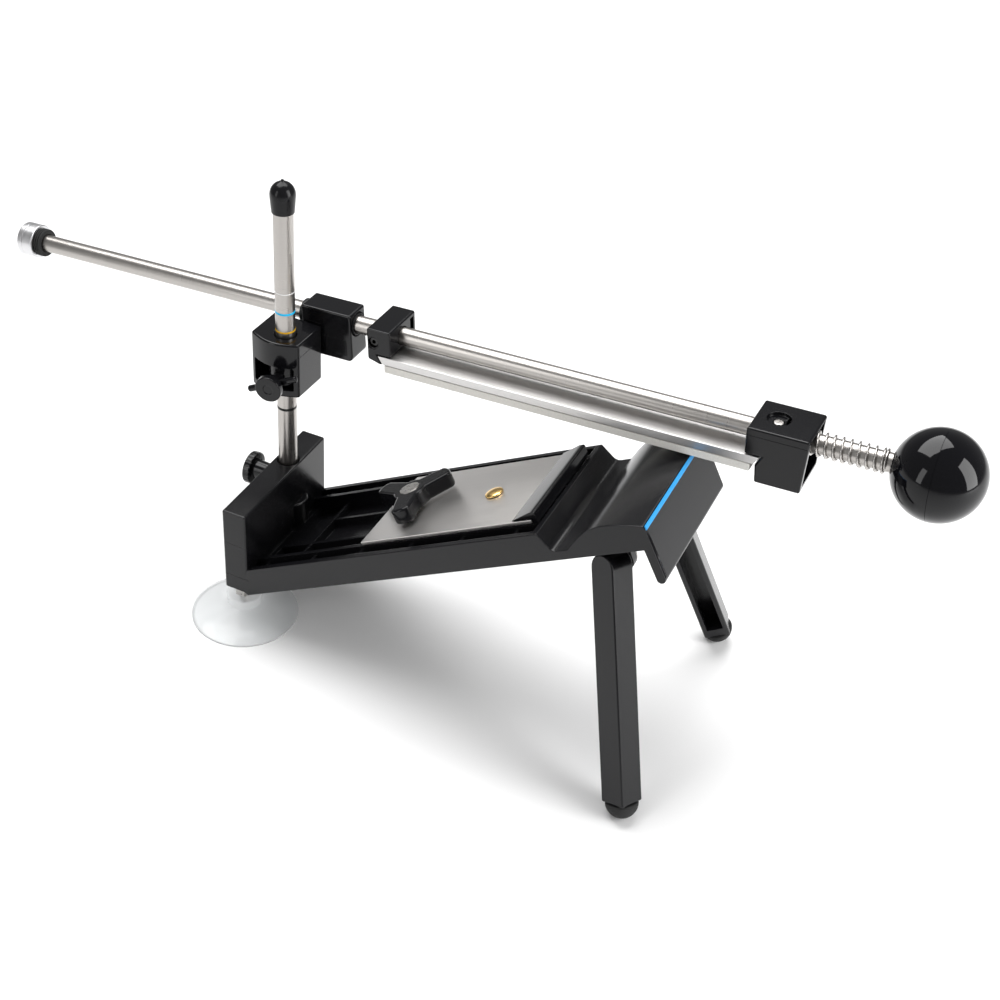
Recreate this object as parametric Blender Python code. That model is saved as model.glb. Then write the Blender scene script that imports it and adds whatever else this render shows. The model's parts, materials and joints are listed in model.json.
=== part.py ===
"""Guided-rod knife sharpener: a tray on a post, with a stone carried along a steel rod.

Metres, +Z up. The origin is the centre of the upright wall's underside. +X runs along the tray
from the post towards the ball handle, +Y runs across it, and the sharpener stands on two suction
cups under the wall and on two folding legs under the blade table.
"""

import math

import bmesh
import bpy
from mathutils import Matrix, Vector

MM = 0.001
GAP = 0.3 * MM                     # what two neighbouring pieces leave free between them
ROUND = 22                         # sides of a round piece
SMALL_ROUND = 14                   # sides of a small round piece

# ---- upright wall and tray -------------------------------------------------------------------
WALL_THICK = 10.8 * MM
WALL_WIDTH = 64.0 * MM             # the tray and the blade table are as wide
WALL_HEIGHT = 40.1 * MM
TRAY_RISE = math.radians(28.93)    # slope of the tray, up towards the blade table
TRAY_DROP = 0.8 * MM               # the tray's underside starts this far below the wall's
TRAY_DEPTH = 12.0 * MM
TRAY_SKIN = 2.6 * MM               # side walls
FLOOR_LOW = 2.6 * MM               # underside of the tray's floor, above the side walls' edge
FLOOR_THICK = 2.0 * MM
RAIL_Y = 23.2 * MM                 # rails that carry the guide plate
RAIL_THICK = 1.8 * MM
CHANNEL_Y = 9.0 * MM               # ribs beside the slot
CHANNEL_THICK = 1.6 * MM
CHANNEL_HIGH = 8.0 * MM
RIB_THICK = 1.4 * MM
RIB_HIGH = 10.4 * MM
RIB_FIRST = 12.5 * MM
RIB_PITCH = 24.6 * MM
RIB_COUNT = 6
SLOT_START, SLOT_END = 56.0 * MM, 106.0 * MM
SLOT_WIDTH = 6.4 * MM

# ---- blade table ----------------------------------------------------------------------------
TROUGH_START = 148.0 * MM          # where the rim drops, measured along the tray
TROUGH_END = 158.0 * MM
TROUGH_HIGH = 4.0 * MM
RAMP = 17.0 * MM                   # length of the curved rise onto the table
TABLE_END = 191.5 * MM
TABLE_FALL = 2.2 * MM              # how far the table curves down to its front edge
TABLE_SKIN = 2.8 * MM
APRON_THICK = 3.5 * MM
APRON_LOW = -14.5 * MM
STRIP_THICK = 0.5 * MM
STRIP_HIGH = 1.7 * MM

# ---- legs -----------------------------------------------------------------------------------
LEG_LEAN = math.radians(16.7)      # forwards
LEG_SPLAY = math.radians(19.0)     # outwards
LEG_TURN = math.radians(16.0)      # of its square section, about its own length
LEG_SIDE = 10.9 * MM
LEG_WEB = 2.0 * MM
LEG_BEHIND_EDGE = 22.3 * MM        # the pivot, from the table's front edge, from the tray's side
LEG_FROM_SIDE = 5.7 * MM
LEG_BELOW = 8.1 * MM               # and below the tray's lower edge
LEG_PIN_R = 1.9 * MM
LEG_PIN_HEAD_R = 3.2 * MM
LUG_THICK = 3.4 * MM
LUG_R = 4.2 * MM
FOOT_R = 6.4 * MM

# ---- suction cups -----------------------------------------------------------------------------
CUP_R = 22.2 * MM
CUP_HIGH = 11.3 * MM
CUP_FROM_SIDE = 5.8 * MM           # the cup's axis, from the wall's side
CUP_HEAD_R = 7.4 * MM
GROUND = -16.3 * MM
STUD_R = 2.0 * MM
STUD_IN_WALL = 8.0 * MM
NUT_FLATS = 7.0 * MM
NUT_THICK = 2.6 * MM

# ---- post ---------------------------------------------------------------------------------------
POST_R = 3.97 * MM
POST_Y = 10.8 * MM
POST_LOW, POST_TOP = 4.0 * MM, 165.4 * MM
CAP_LOW, CAP_WIDE, CAP_TOP = 155.8 * MM, 163.0 * MM, 169.2 * MM
CAP_SKIN = 0.75 * MM
LOCK_Z = 29.4 * MM
LOCK_KNOB_R = 7.0 * MM
LOCK_KNOB_THICK = 3.2 * MM
LOCK_SHANK_R = 2.0 * MM
LOCK_REACH = 18.8 * MM             # the knob's outer face, from the post's axis

# ---- collar and swivel block --------------------------------------------------------------------
COLLAR_R = 6.9 * MM
COLLAR_BELOW_PIN = 3.4 * MM        # its top face, below the tilt pin
COLLAR_HIGH = 9.7 * MM
COLLAR_YAW = math.radians(6.0)     # the thumbscrew's bearing, from straight out towards -Y
THUMB_SHANK_R = 2.0 * MM
THUMB_NECK_R = 3.3 * MM
THUMB_DISC_R = 5.5 * MM
THUMB_NECK, THUMB_DISC, THUMB_END = 10.7 * MM, 14.8 * MM, 17.6 * MM
CROSS_R = 1.35 * MM
CROSS_LENGTH = 23.0 * MM
CROSS_AT = 12.8 * MM
SWIVEL_YAW = math.radians(-1.6)
SWIVEL_LEFT, SWIVEL_RIGHT = -12.5 * MM, 9.4 * MM
SWIVEL_FAR = 12.3 * MM
SWIVEL_NEAR = -5.5 * MM            # the near face's corners
SWIVEL_BULGE = 3.4 * MM            # how far its middle stands out beyond them
SWIVEL_BELOW_PIN, SWIVEL_ABOVE_PIN = 16.7 * MM, 8.0 * MM
WINDOW_BELOW_PIN, WINDOW_HIGH = 13.5 * MM, 10.5 * MM
WINDOW_BACK = 8.4 * MM
SWIVEL_SKIN = 1.9 * MM
TILT_PIN_R = 2.0 * MM
TILT_PIN_T = 5.5 * MM
TILT_PIN_DEEP = 6.5 * MM           # depth of the pin in the swivel block
TILT = math.radians(3.92)
BLADE_GAP = 1.19 * MM              # under the stone at the table's front edge, for a blade

# ---- guide block and rod --------------------------------------------------------------------------
BLOCK_HALF = 5.8 * MM
BLOCK_START, BLOCK_END = -0.4 * MM, 22.3 * MM
BLOCK_LOW, BLOCK_TOP = -15.0 * MM, 6.1 * MM
ROD_R = 3.65 * MM
ROD_START = -141.2 * MM
ROD_IN_BALL = 3.9 * MM             # how far it ends short of the ball's centre
ROD_ABOVE_PIN = 8.86 * MM
ROD_DATUM = 4.9 * MM               # from the rod's datum, beside the post, along it to the tilt pin
SLEEVE_R = 4.5 * MM
BALL_R = 17.0 * MM
BALL_TO_EDGE = 87.6 * MM           # the ball's centre, ahead of the table's front edge
END_CAP_R = 7.2 * MM
END_CAP_START, END_CAP_END = -144.0 * MM, -136.2 * MM
END_SCREW_HIGH = 1.6 * MM
BUMPER_R = 5.95 * MM
BUMPER_WIDTH = 0.75 * MM
BUMPER_COUNT = 3

# ---- stone and clamps --------------------------------------------------------------------------------
CLAMP_HALF = 10.4 * MM
CLAMP_TOP = 6.1 * MM
CLAMP_TO_EDGE = 20.2 * MM          # the front clamp, ahead of the table's front edge
FRONT_LENGTH = 23.5 * MM
FRONT_LOW = -16.4 * MM
FRONT_SCREW_IN = 8.7 * MM
SPRING_IN = 12.5 * MM              # where the spring's seat is in the front clamp
REAR_LENGTH = 10.3 * MM
REAR_SCREW_IN = 2.5 * MM
REAR_LIP = 4.4 * MM                # the rear clamp's outer end, behind the blank's
BLANK_LENGTH = 157.4 * MM
BLANK_IN_FRONT = 5.8 * MM          # how far the blank goes into the front clamp
BLANK_TOP = -5.4 * MM
BLANK_THICK = 3.4 * MM
BLANK_UNDERCUT = 2.0 * MM          # how far its ends slope in, towards the stone
STONE_LENGTH = 151.4 * MM
STONE_INSET = 2.7 * MM             # its end, from the blank's end by the post
STONE_THICK = 3.6 * MM
STONE_HALF = 10.2 * MM
SPRING_R = 4.35 * MM               # to the middle of its wire
SPRING_WIRE_R = 0.45 * MM
SPRING_TURNS = 13.5
SET_SCREW_R = 1.9 * MM

# ---- blade guide ----------------------------------------------------------------------------------------
PLATE_START, PLATE_END = 62.8 * MM, 143.1 * MM
PLATE_HALF = 24.3 * MM
PLATE_LOW = TRAY_DEPTH + GAP
PLATE_THICK = 1.6 * MM
STOP_START, STOP_FLAT, STOP_END = 134.8 * MM, 143.2 * MM, 145.6 * MM
STOP_HIGH = 2.7 * MM               # above the plate
BUTTON_AT, BUTTON_R = 114.4 * MM, 3.8 * MM
KNOB_AT = 77.0 * MM
KNOB_LOW, KNOB_TOP = 15.2 * MM, 21.8 * MM
KNOB_HUB_R = 7.4 * MM
KNOB_LOBE_R = 17.6 * MM
KNOB_LOBE_HALF = 4.6 * MM
KNOB_TURN = math.radians(-76.0)    # the first lobe's bearing
INLAY_R = 4.2 * MM
GUIDE_SCREW_R = 2.0 * MM
GUIDE_NUT = 10.0 * MM
GUIDE_NUT_THICK = 2.0 * MM

# ---- what follows from the sizes above ------------------------------------------------------------------
HALF_WIDTH = WALL_WIDTH / 2
HALF_THICK = WALL_THICK / 2
CUP_Y = HALF_WIDTH - CUP_FROM_SIDE
# along the tray, from its centre line, above its lower edge
LEG_PIVOT = (TABLE_END - LEG_BEHIND_EDGE, HALF_WIDTH - LEG_FROM_SIDE, -LEG_BELOW)
PIVOT_Z = LEG_PIVOT[0] * math.sin(TRAY_RISE) + LEG_PIVOT[2] * math.cos(TRAY_RISE) - TRAY_DROP
# from the pivot to the centre of the foot's dome, which stands on the cups' own level
LEG_LENGTH = (PIVOT_Z - FOOT_R - GROUND) * math.hypot(1, math.tan(LEG_LEAN), math.tan(LEG_SPLAY)) + 0.1 * MM
# the table's front edge, and the height of the tilt pin that lays the stone just above it
EDGE_HIGH = TRAY_DEPTH - TABLE_FALL
EDGE_X = HALF_THICK + TABLE_END * math.cos(TRAY_RISE) - EDGE_HIGH * math.sin(TRAY_RISE)
EDGE_Z = TABLE_END * math.sin(TRAY_RISE) + EDGE_HIGH * math.cos(TRAY_RISE) - TRAY_DROP
STONE_LOW = BLANK_TOP - BLANK_THICK - STONE_THICK
TILT_PIN_Z = (EDGE_Z + BLADE_GAP - (EDGE_X - TILT_PIN_T) * math.tan(TILT)
              - (ROD_ABOVE_PIN + STONE_LOW) / math.cos(TILT))
COLLAR_TOP = TILT_PIN_Z - COLLAR_BELOW_PIN
COLLAR_LOW = COLLAR_TOP - COLLAR_HIGH
SWIVEL_LOW, SWIVEL_TOP = TILT_PIN_Z - SWIVEL_BELOW_PIN, TILT_PIN_Z + SWIVEL_ABOVE_PIN
WINDOW_LOW = TILT_PIN_Z - WINDOW_BELOW_PIN
WINDOW_TOP = WINDOW_LOW + WINDOW_HIGH
# along the rod, from the post towards the ball
FRONT_START = EDGE_X + CLAMP_TO_EDGE
FRONT_END = FRONT_START + FRONT_LENGTH
BLANK_END = FRONT_START + BLANK_IN_FRONT
BLANK_START = BLANK_END - BLANK_LENGTH
REAR_START = BLANK_START - REAR_LIP
REAR_END = REAR_START + REAR_LENGTH
STONE_START = BLANK_START + STONE_INSET
STONE_END = STONE_START + STONE_LENGTH
BALL_AT = EDGE_X + BALL_TO_EDGE
ROD_END = BALL_AT - ROD_IN_BALL
SPRING_START = FRONT_START + SPRING_IN
SPRING_END = BALL_AT - math.sqrt(BALL_R ** 2 - (SPRING_R + SPRING_WIRE_R) ** 2) - 4 * GAP


def clear_scene():
    for obj in list(bpy.data.objects):
        bpy.data.objects.remove(obj, do_unlink=True)


def material(name, colour, roughness, metallic=0.0, alpha=1.0):
    mat = bpy.data.materials.new(name)
    mat.use_nodes = True
    shader = mat.node_tree.nodes["Principled BSDF"]
    shader.inputs["Base Color"].default_value = (*colour, 1.0)
    shader.inputs["Roughness"].default_value = roughness
    shader.inputs["Metallic"].default_value = metallic
    shader.inputs["Alpha"].default_value = alpha
    return mat


def frame(name, location, rotation=(0, 0, 0), parent=None):
    """An empty that carries the pieces of one moving group."""
    empty = bpy.data.objects.new(name, None)
    bpy.context.collection.objects.link(empty)
    empty.location = location
    empty.rotation_euler = rotation
    empty.parent = parent
    return empty


def place(name, bm, mat=None, parent=None, location=(0, 0, 0), rotation=(0, 0, 0)):
    """Turn a bmesh into an object in its parent's frame."""
    bmesh.ops.remove_doubles(bm, verts=bm.verts, dist=1e-7)
    bmesh.ops.recalc_face_normals(bm, faces=bm.faces)
    mesh = bpy.data.meshes.new(name)
    bm.to_mesh(mesh)
    bm.free()
    mesh.shade_smooth()
    mesh.set_sharp_from_angle(angle=math.radians(35))
    obj = bpy.data.objects.new(name, mesh)
    bpy.context.collection.objects.link(obj)
    if mat:
        mesh.materials.append(mat)
    obj.parent = parent
    obj.location = location
    obj.rotation_euler = rotation
    return obj


def prism(outline, low, high):
    """A side outline of (x, z) points, drawn across from y = low to y = high."""
    bm = bmesh.new()
    face = bm.faces.new([bm.verts.new((x, low, z)) for x, z in outline])
    grown = bmesh.ops.extrude_face_region(bm, geom=[face])
    moved = [v for v in grown["geom"] if isinstance(v, bmesh.types.BMVert)]
    bmesh.ops.translate(bm, verts=moved, vec=(0, high - low, 0))
    return bm


def slab(outline, low, high):
    """A plan outline of (x, y) points, raised from z = low to z = high."""
    bm = bmesh.new()
    face = bm.faces.new([bm.verts.new((x, y, low)) for x, y in outline])
    grown = bmesh.ops.extrude_face_region(bm, geom=[face])
    moved = [v for v in grown["geom"] if isinstance(v, bmesh.types.BMVert)]
    bmesh.ops.translate(bm, verts=moved, vec=(0, 0, high - low))
    return bm


def boxes(spans):
    """Separate boxes, each given as ((x0, x1), (y0, y1), (z0, z1))."""
    bm = bmesh.new()
    for xs, ys, zs in spans:
        size = Vector((xs[1] - xs[0], ys[1] - ys[0], zs[1] - zs[0]))
        middle = Vector((xs[1] + xs[0], ys[1] + ys[0], zs[1] + zs[0])) / 2
        matrix = Matrix.Translation(middle) @ Matrix.Diagonal((*size, 1))
        bmesh.ops.create_cube(bm, size=1.0, matrix=matrix)
    return bm


def turned(profile, steps=ROUND):
    """A solid of revolution about local Z, from its closed outline of (radius, z) points."""
    bm = bmesh.new()
    verts = [bm.verts.new((r, 0, z)) for r, z in profile]
    edges = [bm.edges.new((verts[i], verts[(i + 1) % len(verts)])) for i in range(len(verts))
             if profile[i][0] > 1e-9 or profile[(i + 1) % len(verts)][0] > 1e-9]
    bmesh.ops.spin(bm, geom=verts + edges, cent=(0, 0, 0), axis=(0, 0, 1), angle=math.tau,
                   steps=steps, use_merge=True)
    bmesh.ops.remove_doubles(bm, verts=bm.verts, dist=1e-7)
    bmesh.ops.dissolve_degenerate(bm, edges=bm.edges, dist=1e-8)
    return bm


def rod(radius, low, high, chamfer=0.0, steps=ROUND):
    """A round bar about local Z, its two end edges chamfered."""
    if not chamfer:
        return turned([(0, low), (radius, low), (radius, high), (0, high)], steps)
    return turned([(0, low), (radius - chamfer, low), (radius, low + chamfer),
                   (radius, high - chamfer), (radius - chamfer, high), (0, high)], steps)


ALONG_X = (0, math.pi / 2, 0)      # turns a piece drawn about Z so that it lies along X
ALONG_Y = (-math.pi / 2, 0, 0)     # and along Y


def soften(obj, width, segments=1, angle=50):
    """Bevel the edges that are sharper than the angle."""
    bevel = obj.modifiers.new("edges", "BEVEL")
    bevel.width = width
    bevel.segments = segments
    bevel.limit_method = "ANGLE"
    bevel.angle_limit = math.radians(angle)


def combine(obj, tool, operation):
    """Add a Boolean with a tool object that stays out of the model."""
    tool.hide_render = True
    tool.display_type = "WIRE"
    step = obj.modifiers.new(tool.name, "BOOLEAN")
    step.operation = operation
    step.solver = "EXACT"
    step.object = tool


def cut(obj, tool):
    combine(obj, tool, "DIFFERENCE")


def join(obj, tool):
    combine(obj, tool, "UNION")


def arc(centre, radius, start, end, steps):
    """Points of a round stretch, both ends included, angles in degrees."""
    return [(centre[0] + radius * math.cos(math.radians(start + (end - start) * i / steps)),
             centre[1] + radius * math.sin(math.radians(start + (end - start) * i / steps)))
            for i in range(steps + 1)]


def rounded_box_plan(half_x, half_y, radius, steps=4):
    outline = []
    for sx, sy, start in ((1, -1, -90), (1, 1, 0), (-1, 1, 90), (-1, -1, 180)):
        outline += arc((sx * (half_x - radius), sy * (half_y - radius)), radius, start, start + 90, steps)
    return outline


# ---- outlines that more than one piece follows ------------------------------------------------

def table_height(along):
    """Height of the blade table above the tray's lower edge."""
    if along <= TROUGH_END:
        return TROUGH_HIGH
    if along < TROUGH_END + RAMP:
        turn = (along - TROUGH_END) / RAMP * math.pi / 2
        return TROUGH_HIGH + (TRAY_DEPTH - TROUGH_HIGH) * math.sin(turn)
    crown = (along - TROUGH_END - RAMP) / (TABLE_END - TROUGH_END - RAMP)
    return TRAY_DEPTH - TABLE_FALL * crown ** 2


def table_line(start, end, drop, steps=12):
    return [(start + (end - start) * i / steps, table_height(start + (end - start) * i / steps) - drop)
            for i in range(steps + 1)]


def tray_to_wall(wall_x, wall_z):
    """A point given by its place beside the wall, in the tray's frame."""
    dx, dz = wall_x - HALF_THICK, wall_z + TRAY_DROP
    return (dx * math.cos(TRAY_RISE) + dz * math.sin(TRAY_RISE),
            dz * math.cos(TRAY_RISE) - dx * math.sin(TRAY_RISE))


# ---- base ------------------------------------------------------------------------------------------

def tray_block(tray):
    """The tray and the table as one solid, before it is cored."""
    rim_end = tray_to_wall(HALF_THICK - 2 * MM, WALL_HEIGHT * 0.4)[0]
    lip = APRON_THICK / 2
    apron_foot = arc((TABLE_END - lip, APRON_LOW + lip), lip, 0, -180, 6)
    outline = [tray_to_wall(HALF_THICK - 2.4 * MM, 0.4 * MM), (0, 0), (TABLE_END - APRON_THICK, 0)]
    outline += list(reversed(apron_foot))
    outline += list(reversed(table_line(TROUGH_END, TABLE_END, 0)))
    outline += [(TROUGH_START + 4 * MM, TROUGH_HIGH), (TROUGH_START, TRAY_DEPTH), (rim_end, TRAY_DEPTH)]
    return place("tray_block", prism(outline, -HALF_WIDTH, HALF_WIDTH), parent=tray)


def side_bays():
    """The pockets between each side wall and its rail, one between every two ribs."""
    ribs = [RIB_FIRST + RIB_PITCH * i for i in range(RIB_COUNT)]
    ends = [4.5 * MM] + ribs + [TROUGH_START - 1.5 * MM]
    inner = RAIL_Y + RAIL_THICK / 2
    outer = HALF_WIDTH - TRAY_SKIN
    for side in (-1, 1):
        ys = tuple(sorted((side * inner, side * outer)))
        for start, end in zip(ends, ends[1:]):
            yield (start + RIB_THICK / 2, end - RIB_THICK / 2), ys, (FLOOR_LOW + FLOOR_THICK, 30 * MM)


def middle_bays():
    """The pockets between the rails and the ribs beside the slot, and the slot's own channel."""
    cross = [tray_to_wall(HALF_THICK, 8 * MM)[0] + 3 * MM, 24 * MM, 86 * MM, TROUGH_START - 1.5 * MM]
    inner = CHANNEL_Y + CHANNEL_THICK / 2
    outer = RAIL_Y - RAIL_THICK / 2
    for start, end in zip(cross, cross[1:]):
        xs = (start + RIB_THICK / 2, end - RIB_THICK / 2)
        deep = (FLOOR_LOW + FLOOR_THICK, 30 * MM)
        for side in (-1, 1):
            yield xs, tuple(sorted((side * inner, side * outer))), deep
        if start > 20 * MM:
            yield xs, (-CHANNEL_Y + CHANNEL_THICK / 2, CHANNEL_Y - CHANNEL_THICK / 2), deep


def core_tray(body, tray):
    """Hollow the tray from above, and the tray and the table from below."""
    inner_rail = RAIL_Y - RAIL_THICK / 2
    outer_rail = RAIL_Y + RAIL_THICK / 2
    side = HALF_WIDTH - TRAY_SKIN
    reach = (5 * MM, TROUGH_START - 2.2 * MM)
    shallow = [(reach, (-inner_rail, inner_rail), (CHANNEL_HIGH, 30 * MM)),
               (reach, (-side, -outer_rail), (RIB_HIGH, 30 * MM)),
               (reach, (outer_rail, side), (RIB_HIGH, 30 * MM))]
    cut(body, place("tray_shallow", boxes(shallow), parent=tray))
    cut(body, place("tray_bays", boxes(list(side_bays()) + list(middle_bays())), parent=tray))
    slot = [((SLOT_START, SLOT_END), (-SLOT_WIDTH / 2, SLOT_WIDTH / 2), (-2 * MM, 10 * MM))]
    cut(body, place("tray_slot", boxes(slot), parent=tray))
    under = [((6 * MM, TROUGH_START - 2 * MM), (-side, side), (-8 * MM, FLOOR_LOW))]
    cut(body, place("tray_underside", boxes(under), parent=tray))
    front = TABLE_END - APRON_THICK
    hollow = [(TROUGH_START, -30 * MM), (TROUGH_START, TROUGH_HIGH - TABLE_SKIN)]
    hollow += table_line(TROUGH_END + 1.5 * MM, front, TABLE_SKIN, 10) + [(front, -30 * MM)]
    cut(body, place("table_underside", prism(hollow, -side, side), parent=tray))


def lug_span(side):
    """Where the lug for a leg stands across the tray, from its inner to its outer face."""
    corner = math.cos(LEG_SPLAY) * (math.cos(LEG_TURN) + math.sin(LEG_TURN))
    corner += math.sin(LEG_SPLAY) * (math.cos(LEG_TURN) - math.sin(LEG_TURN))
    outer = LEG_PIVOT[1] - GAP - LEG_SIDE / 2 * corner
    return tuple(sorted((side * (outer - LUG_THICK), side * outer)))


def lug_centre(side):
    """Where the pin passes through the middle of a leg's lug, along the tray and above its edge."""
    pin = leg_pin(side)
    reach = (sum(lug_span(side)) / 2 - side * LEG_PIVOT[1]) / pin.y
    across, up = pin.x * reach, pin.z * reach
    return (LEG_PIVOT[0] + across * math.cos(TRAY_RISE) + up * math.sin(TRAY_RISE),
            LEG_PIVOT[2] + up * math.cos(TRAY_RISE) - across * math.sin(TRAY_RISE))


def wall_block(mat):
    half = ((-HALF_THICK, HALF_THICK), (-HALF_WIDTH, HALF_WIDTH), (0, WALL_HEIGHT))
    body = place("base_body", boxes([half]), mat)
    soften(body, 0.7 * MM, 2)
    return body


def make_base(mats, tray):
    body = wall_block(mats["black"])
    block = tray_block(tray)
    core_tray(block, tray)
    for side, word in ((-1, "near"), (1, "far")):
        ys = lug_span(side)
        root = table_height(LEG_PIVOT[0]) - TABLE_SKIN / 2
        outline = [(LEG_PIVOT[0] - 6 * MM, root - 3 * MM), (LEG_PIVOT[0] + 6 * MM, root)]
        outline += arc(lug_centre(side), LUG_R, 0, -180, 8)
        join(block, place("lug_" + word, prism(outline, *ys), parent=tray))
    join(body, block)
    boss = place("post_boss", rod(6.6 * MM, 0.6 * MM, 21 * MM), location=(1.6 * MM, POST_Y, 0))
    join(body, boss)
    pad = place("lock_pad", rod(5.2 * MM, 0, HALF_THICK + 2 * MM), location=(0, POST_Y, LOCK_Z),
                rotation=(0, -math.pi / 2, 0))
    join(body, pad)
    socket = place("post_socket", rod(POST_R + GAP, POST_LOW - GAP, WALL_HEIGHT + 5 * MM),
                   location=(0, POST_Y, 0))
    cut(body, socket)
    lock = place("lock_hole", rod(LOCK_SHANK_R + GAP, 0, 30 * MM, steps=SMALL_ROUND),
                 location=(0, POST_Y, LOCK_Z), rotation=(0, -math.pi / 2, 0))
    cut(body, lock)
    for side, word in ((-1, "near"), (1, "far")):
        hole = rod(STUD_R + GAP, -5 * MM, STUD_IN_WALL + GAP, steps=SMALL_ROUND)
        cut(body, place("stud_hole_" + word, hole, location=(0, side * CUP_Y, 0)))
        pin = place("leg_pin_hole_" + word, rod(LEG_PIN_R + GAP, -30 * MM, 30 * MM, steps=SMALL_ROUND),
                    parent=leg_frame(side, word + "_lug", tray), rotation=ALONG_Y)
        cut(body, pin)
    return body


def make_strip(mats, tray):
    top = table_height(TABLE_END) - 0.1 * MM
    low = TABLE_END + GAP
    strip = [((low, low + STRIP_THICK), (-HALF_WIDTH + GAP, HALF_WIDTH - GAP), (top - STRIP_HIGH, top))]
    place("table_edge_strip", boxes(strip), mats["blue"], tray)


# ---- legs and feet ------------------------------------------------------------------------------------

def leg_down(side):
    """Direction of a leg, from its pivot to its foot."""
    return Vector((math.tan(LEG_LEAN), side * math.tan(LEG_SPLAY), -1)).normalized()


def leg_pin(side):
    """Direction of a leg's pivot pin, square to the leg both as it stands and as it lies folded."""
    folded = Matrix.Rotation(-TRAY_RISE, 3, "Y") @ Vector((-1, 0, 0))
    return leg_down(side).cross(folded).normalized()


def leg_frame(side, word, tray):
    """A frame at a leg's pivot: Z up the leg, Y along the pivot pin."""
    start = Matrix.Rotation(-TRAY_RISE, 3, "Y") @ Vector((LEG_PIVOT[0], 0, LEG_PIVOT[2]))
    up = -leg_down(side)
    pin = leg_pin(side)
    matrix = Matrix((pin.cross(up), pin, up)).transposed()
    where = (start.x + HALF_THICK, side * LEG_PIVOT[1], start.z - TRAY_DROP)
    return frame("leg_frame_" + word, where, matrix.to_euler())


def make_leg(side, word, mats, tray):
    pivot = leg_frame(side, word, tray)
    section = frame("leg_section_" + word, (0, 0, 0), (0, 0, side * LEG_TURN), pivot)
    half = LEG_SIDE / 2
    end = -LEG_LENGTH + 0.4 * MM
    outline = [(half, end), *arc((0, 0), half, 0, 180, 10), (-half, end)]
    leg = place("leg_" + word, prism(outline, -half, half), mats["black"], section)
    inner = -side * half
    channel = tuple(sorted((inner - side * 1 * MM, side * (half - LEG_WEB))))
    hollow = [((-half + LEG_WEB, half - LEG_WEB), channel, (end + 5 * MM, -10 * MM))]
    cut(leg, place("leg_channel_" + word, boxes(hollow), parent=section))
    bore = rod(LEG_PIN_R + GAP, -30 * MM, half - 1.6 * MM, steps=SMALL_ROUND)
    turn = ALONG_Y if side > 0 else (math.pi / 2, 0, 0)
    cut(leg, place("leg_bore_" + word, bore, parent=pivot, rotation=turn))
    stem = rod(2.3 * MM, end - 5 * MM, end + 3.8 * MM, steps=SMALL_ROUND)
    cut(leg, place("foot_socket_" + word, stem, parent=pivot))
    soften(leg, 0.6 * MM, 1, 60)
    pin_end = half - 1.6 * MM - GAP
    lug_back = LEG_PIVOT[1] - min(abs(y) for y in lug_span(side))
    clear = lug_back + LEG_PIN_HEAD_R * math.sin(LEG_SPLAY) + GAP
    inner_end = -clear / math.cos(LEG_SPLAY) - 1.4 * MM
    pin = turned([(0, inner_end), (LEG_PIN_HEAD_R, inner_end), (LEG_PIN_HEAD_R, inner_end + 1.4 * MM),
                  (LEG_PIN_R, inner_end + 1.4 * MM), (LEG_PIN_R, pin_end), (0, pin_end)], SMALL_ROUND)
    place("leg_pin_" + word, pin, mats["steel"], pivot, rotation=turn)
    low = end - GAP
    dome = [(FOOT_R * math.cos(math.radians(a)), low - FOOT_R * math.sin(math.radians(a)))
            for a in range(0, 91, 15)]
    foot = [(0, end + 3.4 * MM), (2.0 * MM, end + 3.4 * MM), (2.0 * MM, low)] + dome[:-1] + [(0, dome[-1][1])]
    place("foot_" + word, turned(foot, 18), mats["rubber"], pivot)


# ---- suction cups ---------------------------------------------------------------------------------------

def make_cup(side, word, mats):
    base = frame("cup_frame_" + word, (0, side * CUP_Y, GROUND))
    hole = STUD_R + GAP
    cup = [(CUP_R, 0), (CUP_R, 0.8 * MM), (CUP_R * 0.68, 3.7 * MM), (CUP_HEAD_R + 0.8 * MM, 6.4 * MM),
           (CUP_HEAD_R, 7.3 * MM), (CUP_HEAD_R, CUP_HIGH - 0.8 * MM), (CUP_HEAD_R - 0.8 * MM, CUP_HIGH),
           (hole, CUP_HIGH), (hole, 6.0 * MM), (0, 6.0 * MM), (0, 4.3 * MM), (6 * MM, 4.0 * MM),
           (CUP_R * 0.64, 2.4 * MM), (CUP_R - 1.0 * MM, 0)]
    place("suction_cup_" + word, turned(cup, 28), mats["clear"], base)
    low, high = 6.0 * MM + GAP, -GROUND + STUD_IN_WALL
    place("cup_stud_" + word, rod(STUD_R, low, high, 0.4 * MM, SMALL_ROUND), mats["steel"], base)
    radius = NUT_FLATS / math.sqrt(3)
    outline = [(radius * math.cos(math.radians(60 * i)), radius * math.sin(math.radians(60 * i)))
               for i in range(6)]
    nut_low = CUP_HIGH + GAP
    nut = place("cup_nut_" + word, slab(outline, nut_low, nut_low + NUT_THICK), mats["steel"], base)
    cut(nut, place("nut_hole_" + word, rod(STUD_R + GAP, 0, 30 * MM, steps=SMALL_ROUND), parent=base))


# ---- post ---------------------------------------------------------------------------------------------------

def make_post(mats):
    post = frame("post_frame", (0, POST_Y, 0))
    place("post", rod(POST_R, POST_LOW, POST_TOP, 0.6 * MM), mats["steel"], post)
    inner = POST_R + GAP
    low_r, wide_r = inner + CAP_SKIN * 0.3, inner + CAP_SKIN
    cap = [(inner, CAP_LOW), (low_r, CAP_LOW), (wide_r, CAP_WIDE),
           (wide_r * 0.95, CAP_WIDE + 2.2 * MM), (wide_r * 0.76, CAP_WIDE + 4.0 * MM),
           (wide_r * 0.42, CAP_WIDE + 5.0 * MM), (wide_r * 0.2, CAP_TOP - 0.3 * MM), (0, CAP_TOP),
           (0, POST_TOP + GAP), (inner, POST_TOP + GAP)]
    place("post_cap", turned(cap), mats["vinyl"], post)


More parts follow.
